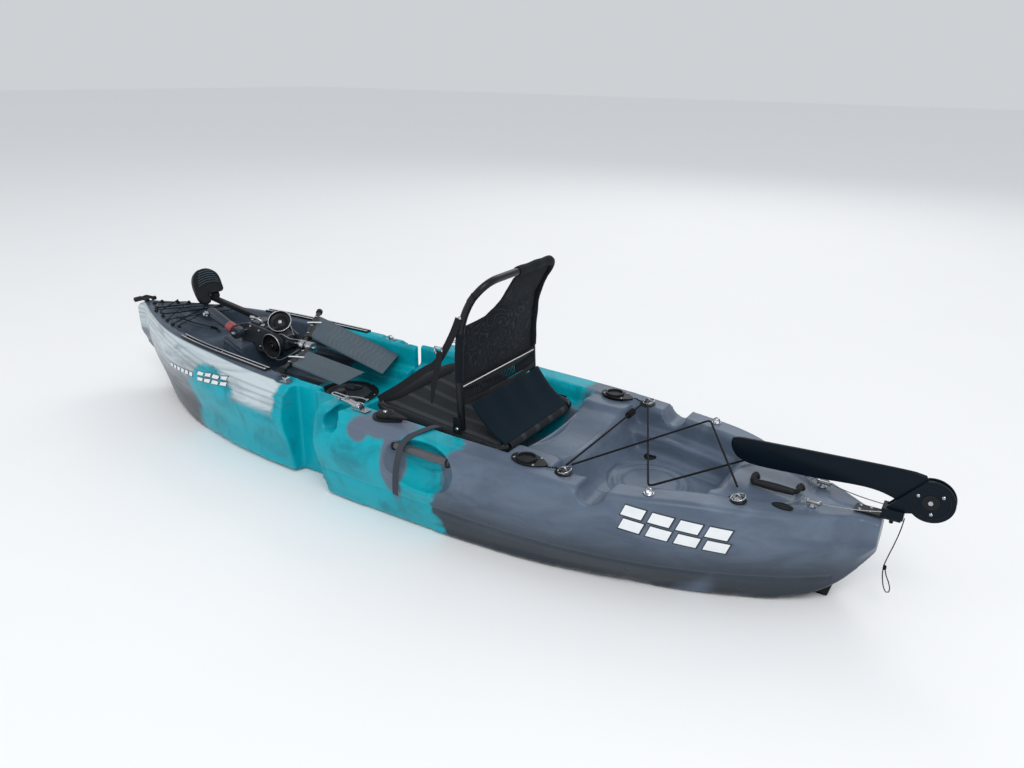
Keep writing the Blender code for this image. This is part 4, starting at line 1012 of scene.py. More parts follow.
def deck_lines():
    """Shock cords: their routes are the CAD's, drawn with a braided cover and real end fittings."""
    bow = {"bow_bungee_a": (mm((1335, 52), (1220, -105), (1100, 150)), 0.004),
           "bow_bungee_b": (mm((1335, -52), (1220, 105), (1100, -150)), 0.014)}
    for name, (route, lift) in bow.items():
        points = [(x, y, sheer(x) + lift) for x, y in route]
        line = tube(smooth_path(points, 0.012), 0.0026)
        piece(name + "_cord", [line], "cord", BOW, [name])
    extra = mm((1395, 18), (1300, -80), (1160, 130), (1060, -150))
    second = mm((1395, -18), (1300, 80), (1160, -130), (1060, 150))
    for k, route in enumerate((extra, second)):
        points = [(x, y, sheer(x) + 0.0060 + 0.002 * k) for x, y in route]
        piece(f"bow_deck_line_{k + 1}", [tube(rounded(points, 0.015), 0.0018, 8)], "cord", BOW)
    clips = []
    for x, y in mm((1335, 52), (1220, 105), (1100, 150), (1395, 18), (1300, 80), (1160, 130), (1060, 150)):
        for side in (1, -1):
            z = sheer(x)
            clips.append(rod((x - 0.008, side * y, z + 0.003), (x + 0.008, side * y, z + 0.003), 0.0052, 14,
                             round_off=0.003))
            clips.append(rod((x, side * y, z - 0.0010), (x, side * y, z + 0.0105), 0.0048, 14,
                             round_off=0.003))
    piece("bow_line_clips", clips, "black", BOW)
    toggle = smooth_path(mm((1150, -62, 283), (1128, -62, 284), (1106, -61, 281)), 0.003)
    grip = tube(toggle, [0.0045 + 0.0022 * math.sin(k * 1.7) for k in range(len(toggle))], 12)
    hook = tube(smooth_path(mm((1106, -61, 281), (1092, -60, 279), (1086, -54, 277), (1092, -49, 276),
                               (1100, -50, 276)), 0.003), 0.0022, 8)
    lead = tube(smooth_path(mm((1150, -62, 283), (1180, -55, 287), (1220, -30, 300), (1270, 10, 325)),
                            0.01), 0.0022, 8)
    piece("bow_hook_toggle", [grip, hook, lead], "cord", BOW)
    a = mm((-737, -262), (-952, 243), (-1150, -120))
    b = mm((-737, 262), (-952, -243), (-1150, 120))
    for name, route, lift in (("tank_bungee_a", a, 0.007), ("tank_bungee_b", b, 0.016)):
        points = [(x, y, sheer(x) + lift) for x, y in route]
        piece(name + "_cord", [tube(rounded(points, 0.02), 0.0030)], "cord", STERN,
              [name])
    z = sheer(-0.72) + 0.007
    tie = [(-0.718, 0.258, z), (-0.718, 0.10, z - 0.001), (-0.718, -0.10, z - 0.001), (-0.718, -0.258, z)]
    piece("tank_tie_cord", [tube(smooth_path(tie, 0.02), 0.0030)], "cord", STERN,
          ["tank_bungee_tie"])
    coils = []
    for k in range(7):
        y = -0.150 - 0.0062 * k
        coils.append(ring_of((-0.718, y, z - 0.0005), (0.12, 1.0, 0.1), 0.0072, 0.0036, 20, 8))
    coils.append(rod((-0.718, -0.146, z), (-0.718, -0.136, z), 0.0050, 14, 0.0030))
    piece("tank_tie_toggle", coils, "cord", STERN)


def scupper(name, x, y, z):
    plug = lathe(mm((0.1, 3), (10, 3), (12, 5), (18, 5), (21, 2.2), (21, -1), (0.1, -1)), (x, y, z),
                 sides=36)
    bar = box((x - 0.010, y - 0.002, z + 0.002), (x + 0.010, y + 0.002, z + 0.0065))
    piece(name, [plug, bar], "black", STERN, bevel=0.0006)


def handles():
    x, z = 1.448, sheer(1.46) + 0.0085
    route = mm((0, 0), (52, 0), (86, -14))
    points = [(x + u, -0.017, z + v) for u, v in route] + [(x + u, 0.017, z + v) for u, v in route[::-1]]
    path = rounded(points, 0.012, 6)
    piece("bow_handle_strap", [tube(path, 0.0068, 16)], "webbing", "bow_handle", ["bow_handle"])
    grip = [(x + 0.088, side * 0.0165, z - 0.0148) for side in (-1, 1)]
    beads = [Vector(grip[0]).lerp(Vector(grip[1]), k / 16) for k in range(17)]
    swell = [0.0092 + 0.0014 * math.sin(k * math.pi / 2) ** 2 for k in range(17)]
    piece("bow_handle_grip", [tube(beads, swell, 18)], "rubber", "bow_handle")
    lugs = [rod((x, side * 0.0085, z), (x, side * 0.0255, z), 0.0088, 20, round_off=0.002) for side in (-1,
                                                                                                        1)]
    piece("bow_handle_lugs", lugs, "black", BOW, bevel=0)
    y, z = 0.006, sheer(-1.23) + 0.0095
    points = [(-1.165, y, z), (-1.165, y + 0.036, z + 0.001), (-1.285, y + 0.036, z + 0.001),
              (-1.285, y, z)]
    piece("stern_handle_strap", [tube(rounded(points, 0.018, 6), 0.0066, 16)], "webbing", "stern_handle",
          ["stern_handle"])
    line = [Vector((-1.172, y + 0.036, z + 0.001)).lerp(Vector((-1.278, y + 0.036, z + 0.001)), k / 30)
            for k in range(31)]
    swell = [0.0088 + 0.0022 * math.sin(math.pi * k / 30) for k in range(31)]
    piece("stern_handle_grip", [tube(line, swell, 18)], "rubber", "stern_handle")
    for k, x in enumerate((-1.165, -1.285)):
        lug = lathe(mm((0.1, -7.5), (12, -7.5), (12.5, -5), (9.5, 2), (7, 6), (0.1, 7.5)),
                    (x, y - 0.012, z - 0.0016), sides=28)
        piece(f"stern_handle_lug_{k + 1}", [lug, screw(x, y - 0.012, z + 0.0055, radius=0.0034)], "black",
              STERN)


def grab_handles():
    for word, side in SIDES:
        y = side * 0.374
        ends = [Vector((GRIP_X - 0.1035, y, 0.272)), Vector((GRIP_X + 0.1035, y, 0.276))]
        steps = 84
        line = [ends[0].lerp(ends[1], k / steps) for k in range(steps + 1)]
        if side > 0:
            radii = [0.0125 + 0.0010 * ramp(abs(k - 42), 36, 30, 0, 1) for k in range(steps + 1)]
            mat = "grip_tube"
        else:
            radii = [0.0122 + 0.0016 * math.sin(2 * math.pi * k / 5) for k in range(steps + 1)]
            mat = "rubber"
        piece(f"{word}_grab_grip", [tube(line, radii, 24)], mat, STERN,
              [f"{word}_grab_handle"], sharp=60)
        collars = []
        for k in (0, 1):
            inward = (ends[1 - k] - ends[k]).normalized()
            collars.append(lathe(mm((12.8, 0), (16.5, 0), (16.8, 3), (14, 6), (12.8, 6)),
                                 ends[k] + inward * 0.004, inward, 32, closed=True))
        piece(f"{word}_grab_collars", collars, "black", STERN)


def latches():
    for word, side in SIDES:
        x, y = LATCH[0], side * LATCH[1]
        z = sheer(x) + 0.0008
        plate = box((x - 0.055, y - 0.013, z), (x + 0.005, y + 0.013, z + 0.0038))
        cheeks = []
        for v in (-0.0110, 0.0110):
            outline = mm((-30, 2), (-28, 14), (-20, 19.5), (-4, 19.5), (2, 12), (2, 2))
            cheeks.append(side_plate(outline, y + v - 0.0014, 0.0028, x, z))
        pivot = (x - 0.010, y, z + 0.013)
        pin = rod((pivot[0], y - 0.0150, pivot[2]), (pivot[0], y + 0.0150, pivot[2]), 0.0026, 16,
                  round_off=0.001)
        heads = [screw(x - 0.045, y + v, z + 0.0036, radius=0.0036) for v in (-0.006, 0.006)]
        piece(f"{word}_latch_plate", [plate, *cheeks], "steel", STERN,
              [f"{word}_latch_base"], bevel=0.0008)
        piece(f"{word}_latch_rivets", [pin, *heads], "steel", STERN)
        low = mm((-5, 8), (10, 10), (30, 16), (46, 18.5), (58, 20))
        high = mm((58, 24), (48, 23.5), (30, 23), (12, 19.5), (2, 18.5), (-6, 16))
        lever = side_plate(low + high, y - 0.0088, 0.0176, pivot[0], z)
        grip = rod((pivot[0] + 0.057, y - 0.0090, z + 0.022), (pivot[0] + 0.057, y + 0.0090, z + 0.022),
                   0.0034,
                   16, round_off=0.001)
        piece(f"{word}_latch_handle", [lever, grip], "steel", f"{word}_latch",
              [f"{word}_latch_lever"], bevel=0.0008)
        pin = (x + 0.030, y, z + 0.0275)
        bail = [(pin[0], y - 0.0085, pin[2]), (pin[0] + 0.060, y - 0.0085, pin[2] + 0.004),
                (pin[0] + 0.060, y + 0.0085, pin[2] + 0.004), (pin[0], y + 0.0085, pin[2])]
        piece(f"{word}_latch_wire", [tube(rounded(bail, 0.007, 6), 0.0021, 12)], "steel", f"{word}_bail",
              [f"{word}_latch_bail"])
        kx, ky = KEEPER[0], side * KEEPER[1]
        kz = sheer(kx) - KEEPER_DEPTH + 0.0012
        plate = box((kx - 0.016, ky - 0.014, kz), (kx + 0.022, ky + 0.014, kz + 0.0036))
        hook = side_plate(mm((-6, 3), (4, 3), (2.5, 8), (4, 11.8), (12, 14), (12.5, 16.8), (0, 17),
                             (-6, 14)), ky - 0.009, 0.018, kx, kz)
        heads = [screw(kx + 0.016, ky + v, kz + 0.0034, radius=0.0032) for v in (-0.008, 0.008)]
        piece(f"{word}_keeper_plate", [plate, hook, *heads], "steel", BOW,
              [f"{word}_keeper"], bevel=0.0007)


def side_controls():
    x, y = STEERING
    z = sheer(x) + 0.0022

    def drop(reach, half, tail, height):
        """Teardrop outline: round ahead, drawn out to a blunt tail behind."""
        out = []
        for c, s in circle(40):
            aft = max(0.0, -c)
            out.append((x + reach * c - tail * aft ** 1.6, y + half * s * (1 - 0.62 * aft ** 2), height))
        return out
    base = prism(drop(0.041, 0.038, 0.024, z), (0, 0, 0.0058))
    ribs = [prism(drop(0.037 - 0.006 * k, 0.034 - 0.006 * k, 0.022, z + 0.0055),
                  (0, 0, 0.0008 + 0.0001 * k))
            for k in range(2)]
    piece("steering_base_plate", [base, *ribs], "black", STERN, ["steering_base"],
          bevel=0.0010)
    hub = lathe(mm((0.1, 19), (20, 19), (26.2, 17), (28.5, 13), (28.8, 6.8), (0.1, 6.8)), (x, y, z),
                sides=48)
    blade = prism(drop(0.026, 0.0230, 0.060, z + 0.0080), (0, 0, 0.0085))
    cap = lathe(mm((0.1, 21.2), (6, 21), (7.5, 19), (0.1, 18.8)), (x, y, z), sides=28)
    piece("steering_lever_body", [hub, blade], "black", "steering_lever",
          ["steering_lever"], bevel=0.0020, steps=3)
    piece("steering_lever_cap", [cap], "steel", "steering_lever")
    kx, ky = LINE_KNOB
    kz = sheer(kx) + 0.0008
    turns = 12
    head = []
    for radius, height in mm((0.1, 14.2), (13, 14.2), (15, 16), (15, 29), (13.5, 31.8), (0.1, 32.2)):
        loop = []
        for k in range(turns * 6):
            a = 2 * math.pi * k / (turns * 6)
            r = radius * (1 - 0.05 * (0.5 + 0.5 * math.cos(turns * a))) if radius > 0.012 else radius
            loop.append((kx + r * math.cos(a), ky + r * math.sin(a), kz + height))
        head.append(loop)
    stem = rod((kx, ky, kz), (kx, ky, kz + 0.015), 0.006, 20)
    piece("line_knob_head", [loft(head), stem], "black", "line_knob", ["line_knob"])
    foot = lathe(mm((7, 0), (13, 0), (13, 2), (10, 3.2), (7, 3.2)),
                 (kx, ky, kz - 0.0006), sides=32, closed=True)
    line = [(0.068, 0.276, kz + 0.006), (0.045, 0.268, kz + 0.0085), (0.015, 0.262, kz + 0.0085),
            (-0.004, 0.262, kz + 0.006)]
    wire = tube(smooth_path(line, 0.004), 0.0022, 10)
    clamp = rod((-0.004, 0.262, kz - 0.001), (-0.004, 0.262, kz + 0.010), 0.0048, 18, round_off=0.0015)
    post = rod((0.068, 0.276, kz - 0.001), (0.068, 0.276, kz + 0.010), 0.0048, 18, round_off=0.0015)
    piece("line_guide_rod", [foot, wire, clamp, post], "steel", STERN)


# Seat ------------------------------------------------------------------------------
SEAT_FRONT, SEAT_REAR, SEAT_HALF = -0.012, -0.478, 0.225
HINGE_X, HINGE_Z = -0.335, 0.300


def seat_line(x):
    return 0.2635 + (0.306 - 0.2635) * (x - SEAT_REAR) / (SEAT_FRONT - SEAT_REAR)


def cloth(name, surface, nu, nv, thickness, mat, body, nodes, keep=None):
    """Sheet over surface(u, v); keep(i, j) says which cells of it are cloth."""
    bm = bmesh.new()
    grid = [[bm.verts.new(Vector(surface(i / nu, j / nv)) + Vector((HX, 0, 0))) for i in range(nu + 1)]
            for j in range(nv + 1)]
    quads(bm, grid, keep)
    loose = [v for v in bm.verts if not v.link_faces]
    bmesh.ops.delete(bm, geom=loose, context="VERTS")
    mesh = bpy.data.meshes.new(name)
    bm.to_mesh(mesh)
    bm.free()
    obj = dressed(bpy.data.objects.new(name, mesh), mat, body, nodes, sharp=0)
    mod = obj.modifiers.new("cloth", "SOLIDIFY")
    mod.thickness = thickness
    mod.offset = 0.0
    return obj


def seat_base():
    half = SEAT_HALF
    corners = [(SEAT_FRONT, half), (SEAT_REAR, half), (SEAT_REAR, -half), (SEAT_FRONT, -half)]
    path = [(p.x, p.y, seat_line(p.x)) for p in rounded([(x, y, 0) for x, y in corners], 0.038, 8,
                                                        closed=True)]
    piece("seat_base_tube", [tube(path, 0.0125, 20, closed=True)], "tube", STERN,
          ["seat_base_frame"], sharp=60)
    inner = half - 0.016

    def sling(u, v):
        x = SEAT_REAR + 0.016 + (SEAT_FRONT - SEAT_REAR - 0.030) * v
        sag = 0.016 * math.sin(math.pi * u) * math.sin(math.pi * min(1.0, v * 1.05))
        return x, inner * (2 * u - 1), seat_line(x) + 0.006 - sag
    sheet = cloth("seat_sling_cloth", sling, 48, 44, 0.0022, "sling", STERN, ["seat_sling"])
    sleeves = []
    for side in (1, -1):
        line = [(x, side * half, seat_line(x)) for x in np.linspace(SEAT_REAR + 0.06, SEAT_FRONT - 0.05,
                                                                    30)]
        sleeves.append(tube(line, 0.0146, 20))
    rear = [(SEAT_REAR, y, seat_line(SEAT_REAR)) for y in np.linspace(-0.175, 0.175, 24)]
    sleeves.append(tube(rear, 0.0146, 20))
    piece("seat_sling_sleeves", sleeves, "sling", STERN, sharp=60)
    front_pad()
    feet = []
    for x, side in mm((-60, 1000), (-60, -1000), (-430, 1000), (-430, -1000)):
        y = sorted((side * 0.2385, side * 0.244))
        feet.append(box((x - 0.020, y[0], seat_line(x) - 0.013), (x + 0.020, y[1], seat_line(x) + 0.010)))
    piece("seat_side_clamps", feet, "black", STERN, bevel=0.0015)


def front_pad():
    """Foam pad wrapped round the front bar: fuller on top and drawn in at its two ends."""
    steps = 60
    loops = []
    for j in range(steps + 1):
        t = j / steps
        y = -0.200 + 0.400 * t
        end = min(1.0, 8 * min(t, 1 - t)) ** 0.5
        quilt = 1 - 0.014 * (0.5 + 0.5 * math.cos(2 * math.pi * t * 8))
        rx, rz = (0.0155 + 0.016 * end) * quilt, (0.0145 + 0.008 * end) * quilt
        loops.append([(SEAT_FRONT - 0.004 + rx * c, y, seat_line(SEAT_FRONT) + rz * s - 0.001)
                      for c, s in circle(28)])
    pad = piece("seat_front_pad", [loft(loops)], "pad", STERN, sharp=50)


def port_top(y):
    """Upper edge of the back cloth: full height to starboard, cut away below the port grip."""
    return float(np.interp(y, (-0.20, 0.022, 0.034, 0.050, 0.075, 0.110, 0.150, 0.200),
                           (0.742, 0.742, 0.700, 0.668, 0.645, 0.628, 0.622, 0.616)))


def rivet(x, y, z, side):
    profile = mm((0.1, 4), (4, 3.6), (6.2, 1.6), (6.6, 0), (0.1, 0))
    return lathe(profile, (x, y, z), (0, side, 0), 20)


def seat_back():
    half, low = 0.211, seat_line(HINGE_X) + 0.0185
    points = [(HINGE_X, half, low), (HINGE_X + 0.012, half, 0.50), (HINGE_X - 0.002, half, 0.66),
              (-0.410, half, 0.758), (-0.410, -half, 0.758), (HINGE_X - 0.002, -half, 0.66),
              (HINGE_X + 0.012, -half, 0.50), (HINGE_X, -half, low)]
    path = rounded(points, 0.075, 12)
    piece("seat_back_tube", [tube(path, 0.0113, 20)], "tube", "seat_back", ["seat_back_frame"], sharp=60)
    inner = half - 0.008
    across, tall = 96, 84

    def back(u, v):
        y = inner * (2 * u - 1)
        z = 0.384 + (port_top(y) - 0.384) * v
        knots = mm((370, -342), (400, -335), (430, -327.5), (500, -325.5), (580, -330), (640, -340),
                   (700, -372), (742, -400))
        x = float(np.interp(z, *zip(*knots)))
        rise = min(1.0, max(0.0, (z - 0.42) / 0.32))
        belly = 0.020 * math.cos(math.pi * (u - 0.5)) * math.sin(math.pi * rise)
        return x - belly, y, z

    def woven(i, j):
        """Every second thread is left out of the slotted strip near the lower edge."""
        _, y, z = back((i + 0.5) / across, (j + 0.5) / tall)
        return not (0.389 < z < 0.428 and -0.090 < y < 0.142 and i % 2)
    panel = cloth("seat_back_cloth", back, across, tall, 0.0020, "mesh", "seat_back", ["seat_back_panel"],
                  woven)
    top = [p for p in path if p.z > 0.655 and p.y < 0.020]
    side = [p for p in path if 0.44 < p.z <= 0.655 and p.y < 0]
    sleeve_path = smooth_path([(-0.410, 0.030, 0.758), *top[::3], *side[::2]], 0.012)
    radii = [0.0142 + 0.0008 * math.sin(k * 0.9) for k in range(len(sleeve_path))]
    piece("seat_back_sleeve", [tube(sleeve_path, radii, 20)], "mesh", "seat_back", sharp=60)
    port = [p for p in path if 0.44 < p.z < 0.605 and p.y > 0]
    piece("seat_back_port_sleeve", [tube(smooth_path(port[::2], 0.012), 0.0138, 20)], "mesh", "seat_back",
          sharp=60)
    hem = [Vector(back(u, 1.0)) - Vector((0.001, 0, 0)) for u in np.linspace(0.56, 0.985, 40)]
    piece("seat_back_hem", [tube(hem, 0.0032, 10)], "webbing", "seat_back")
    piping = [(-0.334 - 0.020 * math.cos(math.pi * y / 0.43), y, 0.438 + 0.010 * math.cos(y * 9.0) - 0.002)
              for y in np.linspace(-0.206, 0.206, 50)]
    piece("seat_back_piping", [tube(piping, 0.0017, 8)], "piping", "seat_back")
    back_bands()
    lower_panel()
    joints, pins = [], []
    for side in (1, -1):
        joints.append(rivet(-0.337, side * 0.2222, 0.648, side))
        pins.append(rivet(HINGE_X, side * 0.2372, HINGE_Z + 0.006, side))
    piece("seat_back_rivets", joints, "steel", "seat_back")
    piece("seat_hinge_pins", pins, "steel", STERN)
    straps = []
    for side in (1, -1):
        outline = [(HINGE_X - 0.016, 0.292), (HINGE_X + 0.016, 0.292), (HINGE_X + 0.014, 0.345),
                   (HINGE_X - 0.010, 0.345)]
        straps.append(side_plate(outline, side * 0.2360 - 0.0012, 0.0024))
    piece("seat_hinge_plates", straps, "tube", STERN, bevel=0.0008)


def back_bands():
    """Webbing sewn along both edges of the back cloth's slotted strip."""
    rails = []
    for z, shift in ((0.4345, 0.0), (0.3830, -0.006)):
        line = [(-0.3325 + shift - 0.020 * math.cos(math.pi * y / 0.43), y, z)
                for y in np.linspace(-0.205, 0.205, 40)]
        band = mm((-1.2, -9), (1.2, -9), (1.2, 9), (-1.2, 9))
        rails.append(section_sweep(line, lambda k: band, False, (1, 0, 0)))
    piece("seat_back_bands", rails, "webbing", "seat_back")


def lower_panel():
    inner = 0.196

    def rear(u, v):
        y = inner * (2 * u - 1)
        x = SEAT_REAR - 0.004 + (HINGE_X - 0.024 - SEAT_REAR + 0.004) * v
        z = seat_line(SEAT_REAR) + 0.0135 + (0.3800 - seat_line(SEAT_REAR) - 0.0135) * v
        dip = 0.016 * math.sin(math.pi * v) + 0.004 * math.sin(math.pi * u) * math.sin(math.pi * v)
        return x, y, z - dip + 0.0022 * math.sin(7.0 * math.pi * u + 1.4 * v) * v
    panel = cloth("seat_rear_cloth", rear, 40, 20, 0.0020, "navy", STERN, ["seat_rear_panel"])
    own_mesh(panel)


def seat_straps():
    for word, side in SIDES:
        y = side * 0.2425
        line = [(-0.336, side * 0.2255, 0.648), (-0.318, side * 0.2300, 0.600),
                (-0.292, side * 0.2380, 0.545),
                (-0.262, y, 0.500), (-0.215, y, 0.468), (-0.130, y, 0.402), (-0.035, y, 0.336)]
        main = ribbon(smooth_path(line, 0.012), 0.022, 0.0018, (0.75, 0, 0.66))
        tail = [(-0.282, y + side * 0.003, 0.545), (-0.276, y + side * 0.006, 0.500),
                (-0.262, y + side * 0.008, 0.440), (-0.252, y + side * 0.008, 0.375)]
        path = smooth_path(tail, 0.010)
        wide = [0.022 * (1 - 0.75 * (k / (len(path) - 1)) ** 3) for k in range(len(path))]
        strap = piece(f"{word}_seat_strap", [main, ribbon(path, wide, 0.0016, (0.9, 0, 0.2))], "webbing",
                      STERN, [f"seat_strap_{word}"])
        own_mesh(strap)
        buckle = [box((-0.290, y - 0.003, 0.536), (-0.262, y + 0.003, 0.541)),
                  box((-0.290, y - 0.003, 0.552), (-0.262, y + 0.003, 0.557)),
                  box((-0.2905, y - 0.003, 0.536), (-0.2865, y + 0.003, 0.557)),
                  box((-0.2655, y - 0.003, 0.536), (-0.2615, y + 0.003, 0.557))]
        clip = piece(f"{word}_strap_buckle", buckle, "alloy", STERN)
        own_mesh(clip)
    tail = mm((-292, 244, 299), (-285, 265, 314.5), (-276, 300, 318.5), (-268, 340, 318), (-258, 369, 313),
              (-250, 390.5, 296), (-243, 399, 270), (-236, 403.5, 230), (-230, 404.5, 190),
              (-226, 403, 150), (-224, 400, 125))
    path = smooth_path(tail, 0.006)
    strap = piece("port_strap_tail", [ribbon(path, 0.020, 0.0015, (1, 0, 0.05))], "grey_webbing",
                  STERN)


# Pedal drive -----------------------------------------------------------------------
def drive_body():
    y0, y1 = DRIVE_SIDES
    z0 = 0.3288
    outline = [(0.590, 0.318), (0.605, 0.300), (0.716, 0.300), (0.732, z0), (0.800, z0), (0.812, 0.352),
               (0.806, 0.392), (0.760, 0.404), (0.640, 0.392), (0.590, 0.366)]
    inset = [(0.700 + (x - 0.700) * 0.97, 0.350 + (z - 0.350) * 0.93) for x, z in outline]
    walls = [side_plate(outline, y, 0.010) for y in (y0, y1 - 0.010)]
    core = side_plate(inset, y0 + 0.009, y1 - y0 - 0.018)
    piece("drive_side_plates", walls, "plate", BOW, ["drive_spine"], bevel=0.0022)
    piece("drive_core", [core], "black", BOW, bevel=0.003)
    bolts = []
    for x, z in mm((625, 335), (625, 372), (700, 320), (700, 382), (790, 345), (745, 392)):
        for y, way in ((y0, -1), (y1, 1)):
            bolts.append(screw(x, y + way * 0.0002, z, (0, way, 0), 0.0055))
    for x, y in mm((640, 4), (640, 36), (700, 20), (770, 4), (770, 36)):
        bolts.append(screw(x, y, 0.3935 + 0.092 * (x - 0.64), radius=0.0050))
    piece("drive_bolts", bolts, "steel", BOW)
    caps = []
    for x in (0.655, 0.735):
        caps.append(box((x - 0.022, y0 + 0.014, 0.392),
                        (x + 0.022, y1 - 0.014, 0.4005 + 0.09 * (x - 0.655))))
    piece("drive_top_caps", caps, "plate", BOW, bevel=0.0025)
    axle = [rod((AXLE[0], -0.080, AXLE[1]), (AXLE[0], 0.132, AXLE[1]), 0.0076, 28, round_off=0.002)]
    axle += [lathe(mm((7.8, 0), (12.5, 0), (12.5, 3), (7.8, 3)),
                   (AXLE[0], y, AXLE[1]), (0, 1, 0), 6, closed=True) for y in (-0.0780, 0.1260)]
    piece("drive_axle_bar", axle, "steel", BOW, ["drive_axle"])
    shaft = rod((0.460, *FIN_SHAFT), (0.5895, *FIN_SHAFT), 0.0073, 28, round_off=0.002)
    piece("fin_shaft_bar", [shaft], "steel", BOW, ["fin_shaft"])
    block = box((0.590, 0.000, 0.322), (0.606, 0.044, 0.372))
    piece("fin_shaft_block", [block], "plate", BOW, bevel=0.003)


def cable_drum(word, x, z, y0, y1):
    """Grooved drum, open like a bowl on its outer face, with a pale rim."""
    way = 1 if y1 > y0 else -1
    depth = abs(y1 - y0)
    bowl = lathe([(0.0125, 0.0), (0.0440, 0.0), (0.0465, 0.0020), (0.0430, depth * 0.30),
                  (0.0430, depth * 0.62),
                  (0.0465, depth - 0.0030), (0.0455, depth - 0.0006), (0.0425, depth - 0.0010),
                  (0.0390, depth * 0.55),
                  (0.0240, depth * 0.32), (0.0200, depth * 0.70), (0.0125, depth * 0.74)],
                 (x, y0, z), (0, way, 0), 72, closed=True)
    piece(f"{word}_drum_bowl", [bowl], "black", BOW, [f"{word}_cable_drum"])
    rim = ring_of((x, y1 - way * 0.0020, z), (0, way, 0), 0.0455, 0.0016, 72, 10)
    hub = lathe(mm((0.1, 4), (7.5, 3.5), (9, 0), (9, -6), (0.1, -6)),
                (x, y0 + (y1 - y0) * 0.76, z), (0, way, 0), 24)
    piece(f"{word}_drum_rim", [rim], "alloy", BOW)
    piece(f"{word}_drum_hub", [hub], "steel", BOW)


def pedal_arm(y, tilt):
    """An arm's place on the axle, its direction, and its upper side's direction."""
    along = Vector((math.cos(tilt), 0.0, math.sin(tilt)))
    up = Vector((-math.sin(tilt), 0.0, math.cos(tilt)))
    return Vector((AXLE[0], y, AXLE[1])), along, up


def arm_hub(axle):
    return lathe(mm((8.5, -14.8), (21.5, -14.8), (22, -13), (22, 13), (21.5, 14.8), (8.5, 14.8)), axle,
                 (0, 1, 0), 40, closed=True)


def right_arm():
    axle, along, up = pedal_arm(-0.052, math.radians(PEDAL_TURN))
    hub = arm_hub(axle)
    rows = []
    for k in range(41):
        s = 0.014 + (0.362 - 0.014) * k / 40
        half_up = 0.0120 - 0.0030 * k / 40
        half_y = 0.0118
        middle = axle + along * s
        if k > 38:
            half_up *= 0.75
        rows.append([middle + Vector((0, u * half_y, 0)) + up * (v * half_up)
                     for u, v in mm((-1000, -700), (-700, -1000), (700, -1000), (1000, -700), (1000, 700),
                                    (700, 1000), (-700, 1000), (-1000, 700))])
    tip = axle + along * 0.352
    pin = rod(tip, tip - Vector((0, 0.040, 0)), 0.0048, 20)
    piece("right_arm_bar", [hub, loft(rows)], "tube", "right_arm", ["right_pedal_arm"], sharp=30)
    nut = lathe(mm((0.1, 4), (7, 3.5), (7.8, 0), (0.1, 0)),
                tip + Vector((0, 0.0118, 0)), (0, 1, 0), 20)
    piece("right_arm_pin", [pin, nut], "steel", "right_arm")
    foot(tip, math.radians(FOOT_LEAN))


def foot(tip, lean):
    """Foot plate: a dished, rounded pad with ribs across its toe."""
    along = Vector((math.cos(lean), 0.0, math.sin(lean)))
    up = Vector((-math.sin(lean), 0.0, math.cos(lean)))
    across = Vector((0.0, 1.0, 0.0))
    outline = mm((8, -50), (8, 14), (-22, 20), (-30, 34), (-26, 56), (-5, 70), (50, 74), (86, 62),
                 (106, 36), (112, 4), (104, -26), (80, -52), (40, -58))
    curve = [(p.x, p.y) for p in smooth_path([(u, w, 0) for u, w in outline], 0.006, closed=True)]
    cu, cw = 0.048, 0.004

    def ring(scale, lift):
        return [tip + along * (cu + (u - cu) * scale) + across * (cw + (w - cw) * scale) + up * lift
                for u, w in curve]
    body = loft([ring(0.93, 0.0132), ring(0.985, 0.0140), ring(1.0, 0.0170), ring(1.0, 0.0265),
                 ring(0.985, 0.0295), ring(0.95, 0.0308), ring(0.86, 0.0300), ring(0.60, 0.0280)])
    hub = lathe(mm((5.8, -13.5), (17.5, -13.5), (17.8, -38.5), (16.5, -39.8), (5.8, -39.8)),
                tip, (0, 1, 0), 36, closed=True)
    web = loft([[tip + along * u + across * w + up * v for u, w in mm((-4, -36), (-4, -16), (22, -16),
                                                                      (22, -36))]
                for v in (0.004, 0.0145)])
    piece("right_foot_pad", [body, hub, web], "black", "right_pedal", ["right_pedal"],
          sharp=40)
    ribs = []
    for k in range(6):
        u = 0.056 + 0.0090 * k
        reach = 0.050 * math.sqrt(max(0.05, 1 - ((u - 0.045) / 0.072) ** 2))
        line = [tip + along * (u - 0.010 * (w / 0.05) ** 2) + across * (w + 0.004) + up * 0.0302
                for w in np.linspace(-reach, reach, 15)]
        ribs.append(tube(line, 0.0020, 8))
    piece("right_foot_ribs", ribs, "fin", "right_pedal")
    band = [tip + along * (cu + (u - cu) * 1.005) + across * (cw + (w - cw) * 1.005) + up * 0.0262
            for u, w in curve]
    part = [p for p in band if (p - tip).dot(across) > 0.030 and (p - tip).dot(along) > 0.02]
    piece("right_foot_band", [tube(smooth_path(part[::2], 0.006), 0.0022, 8)], "plate", "right_pedal")


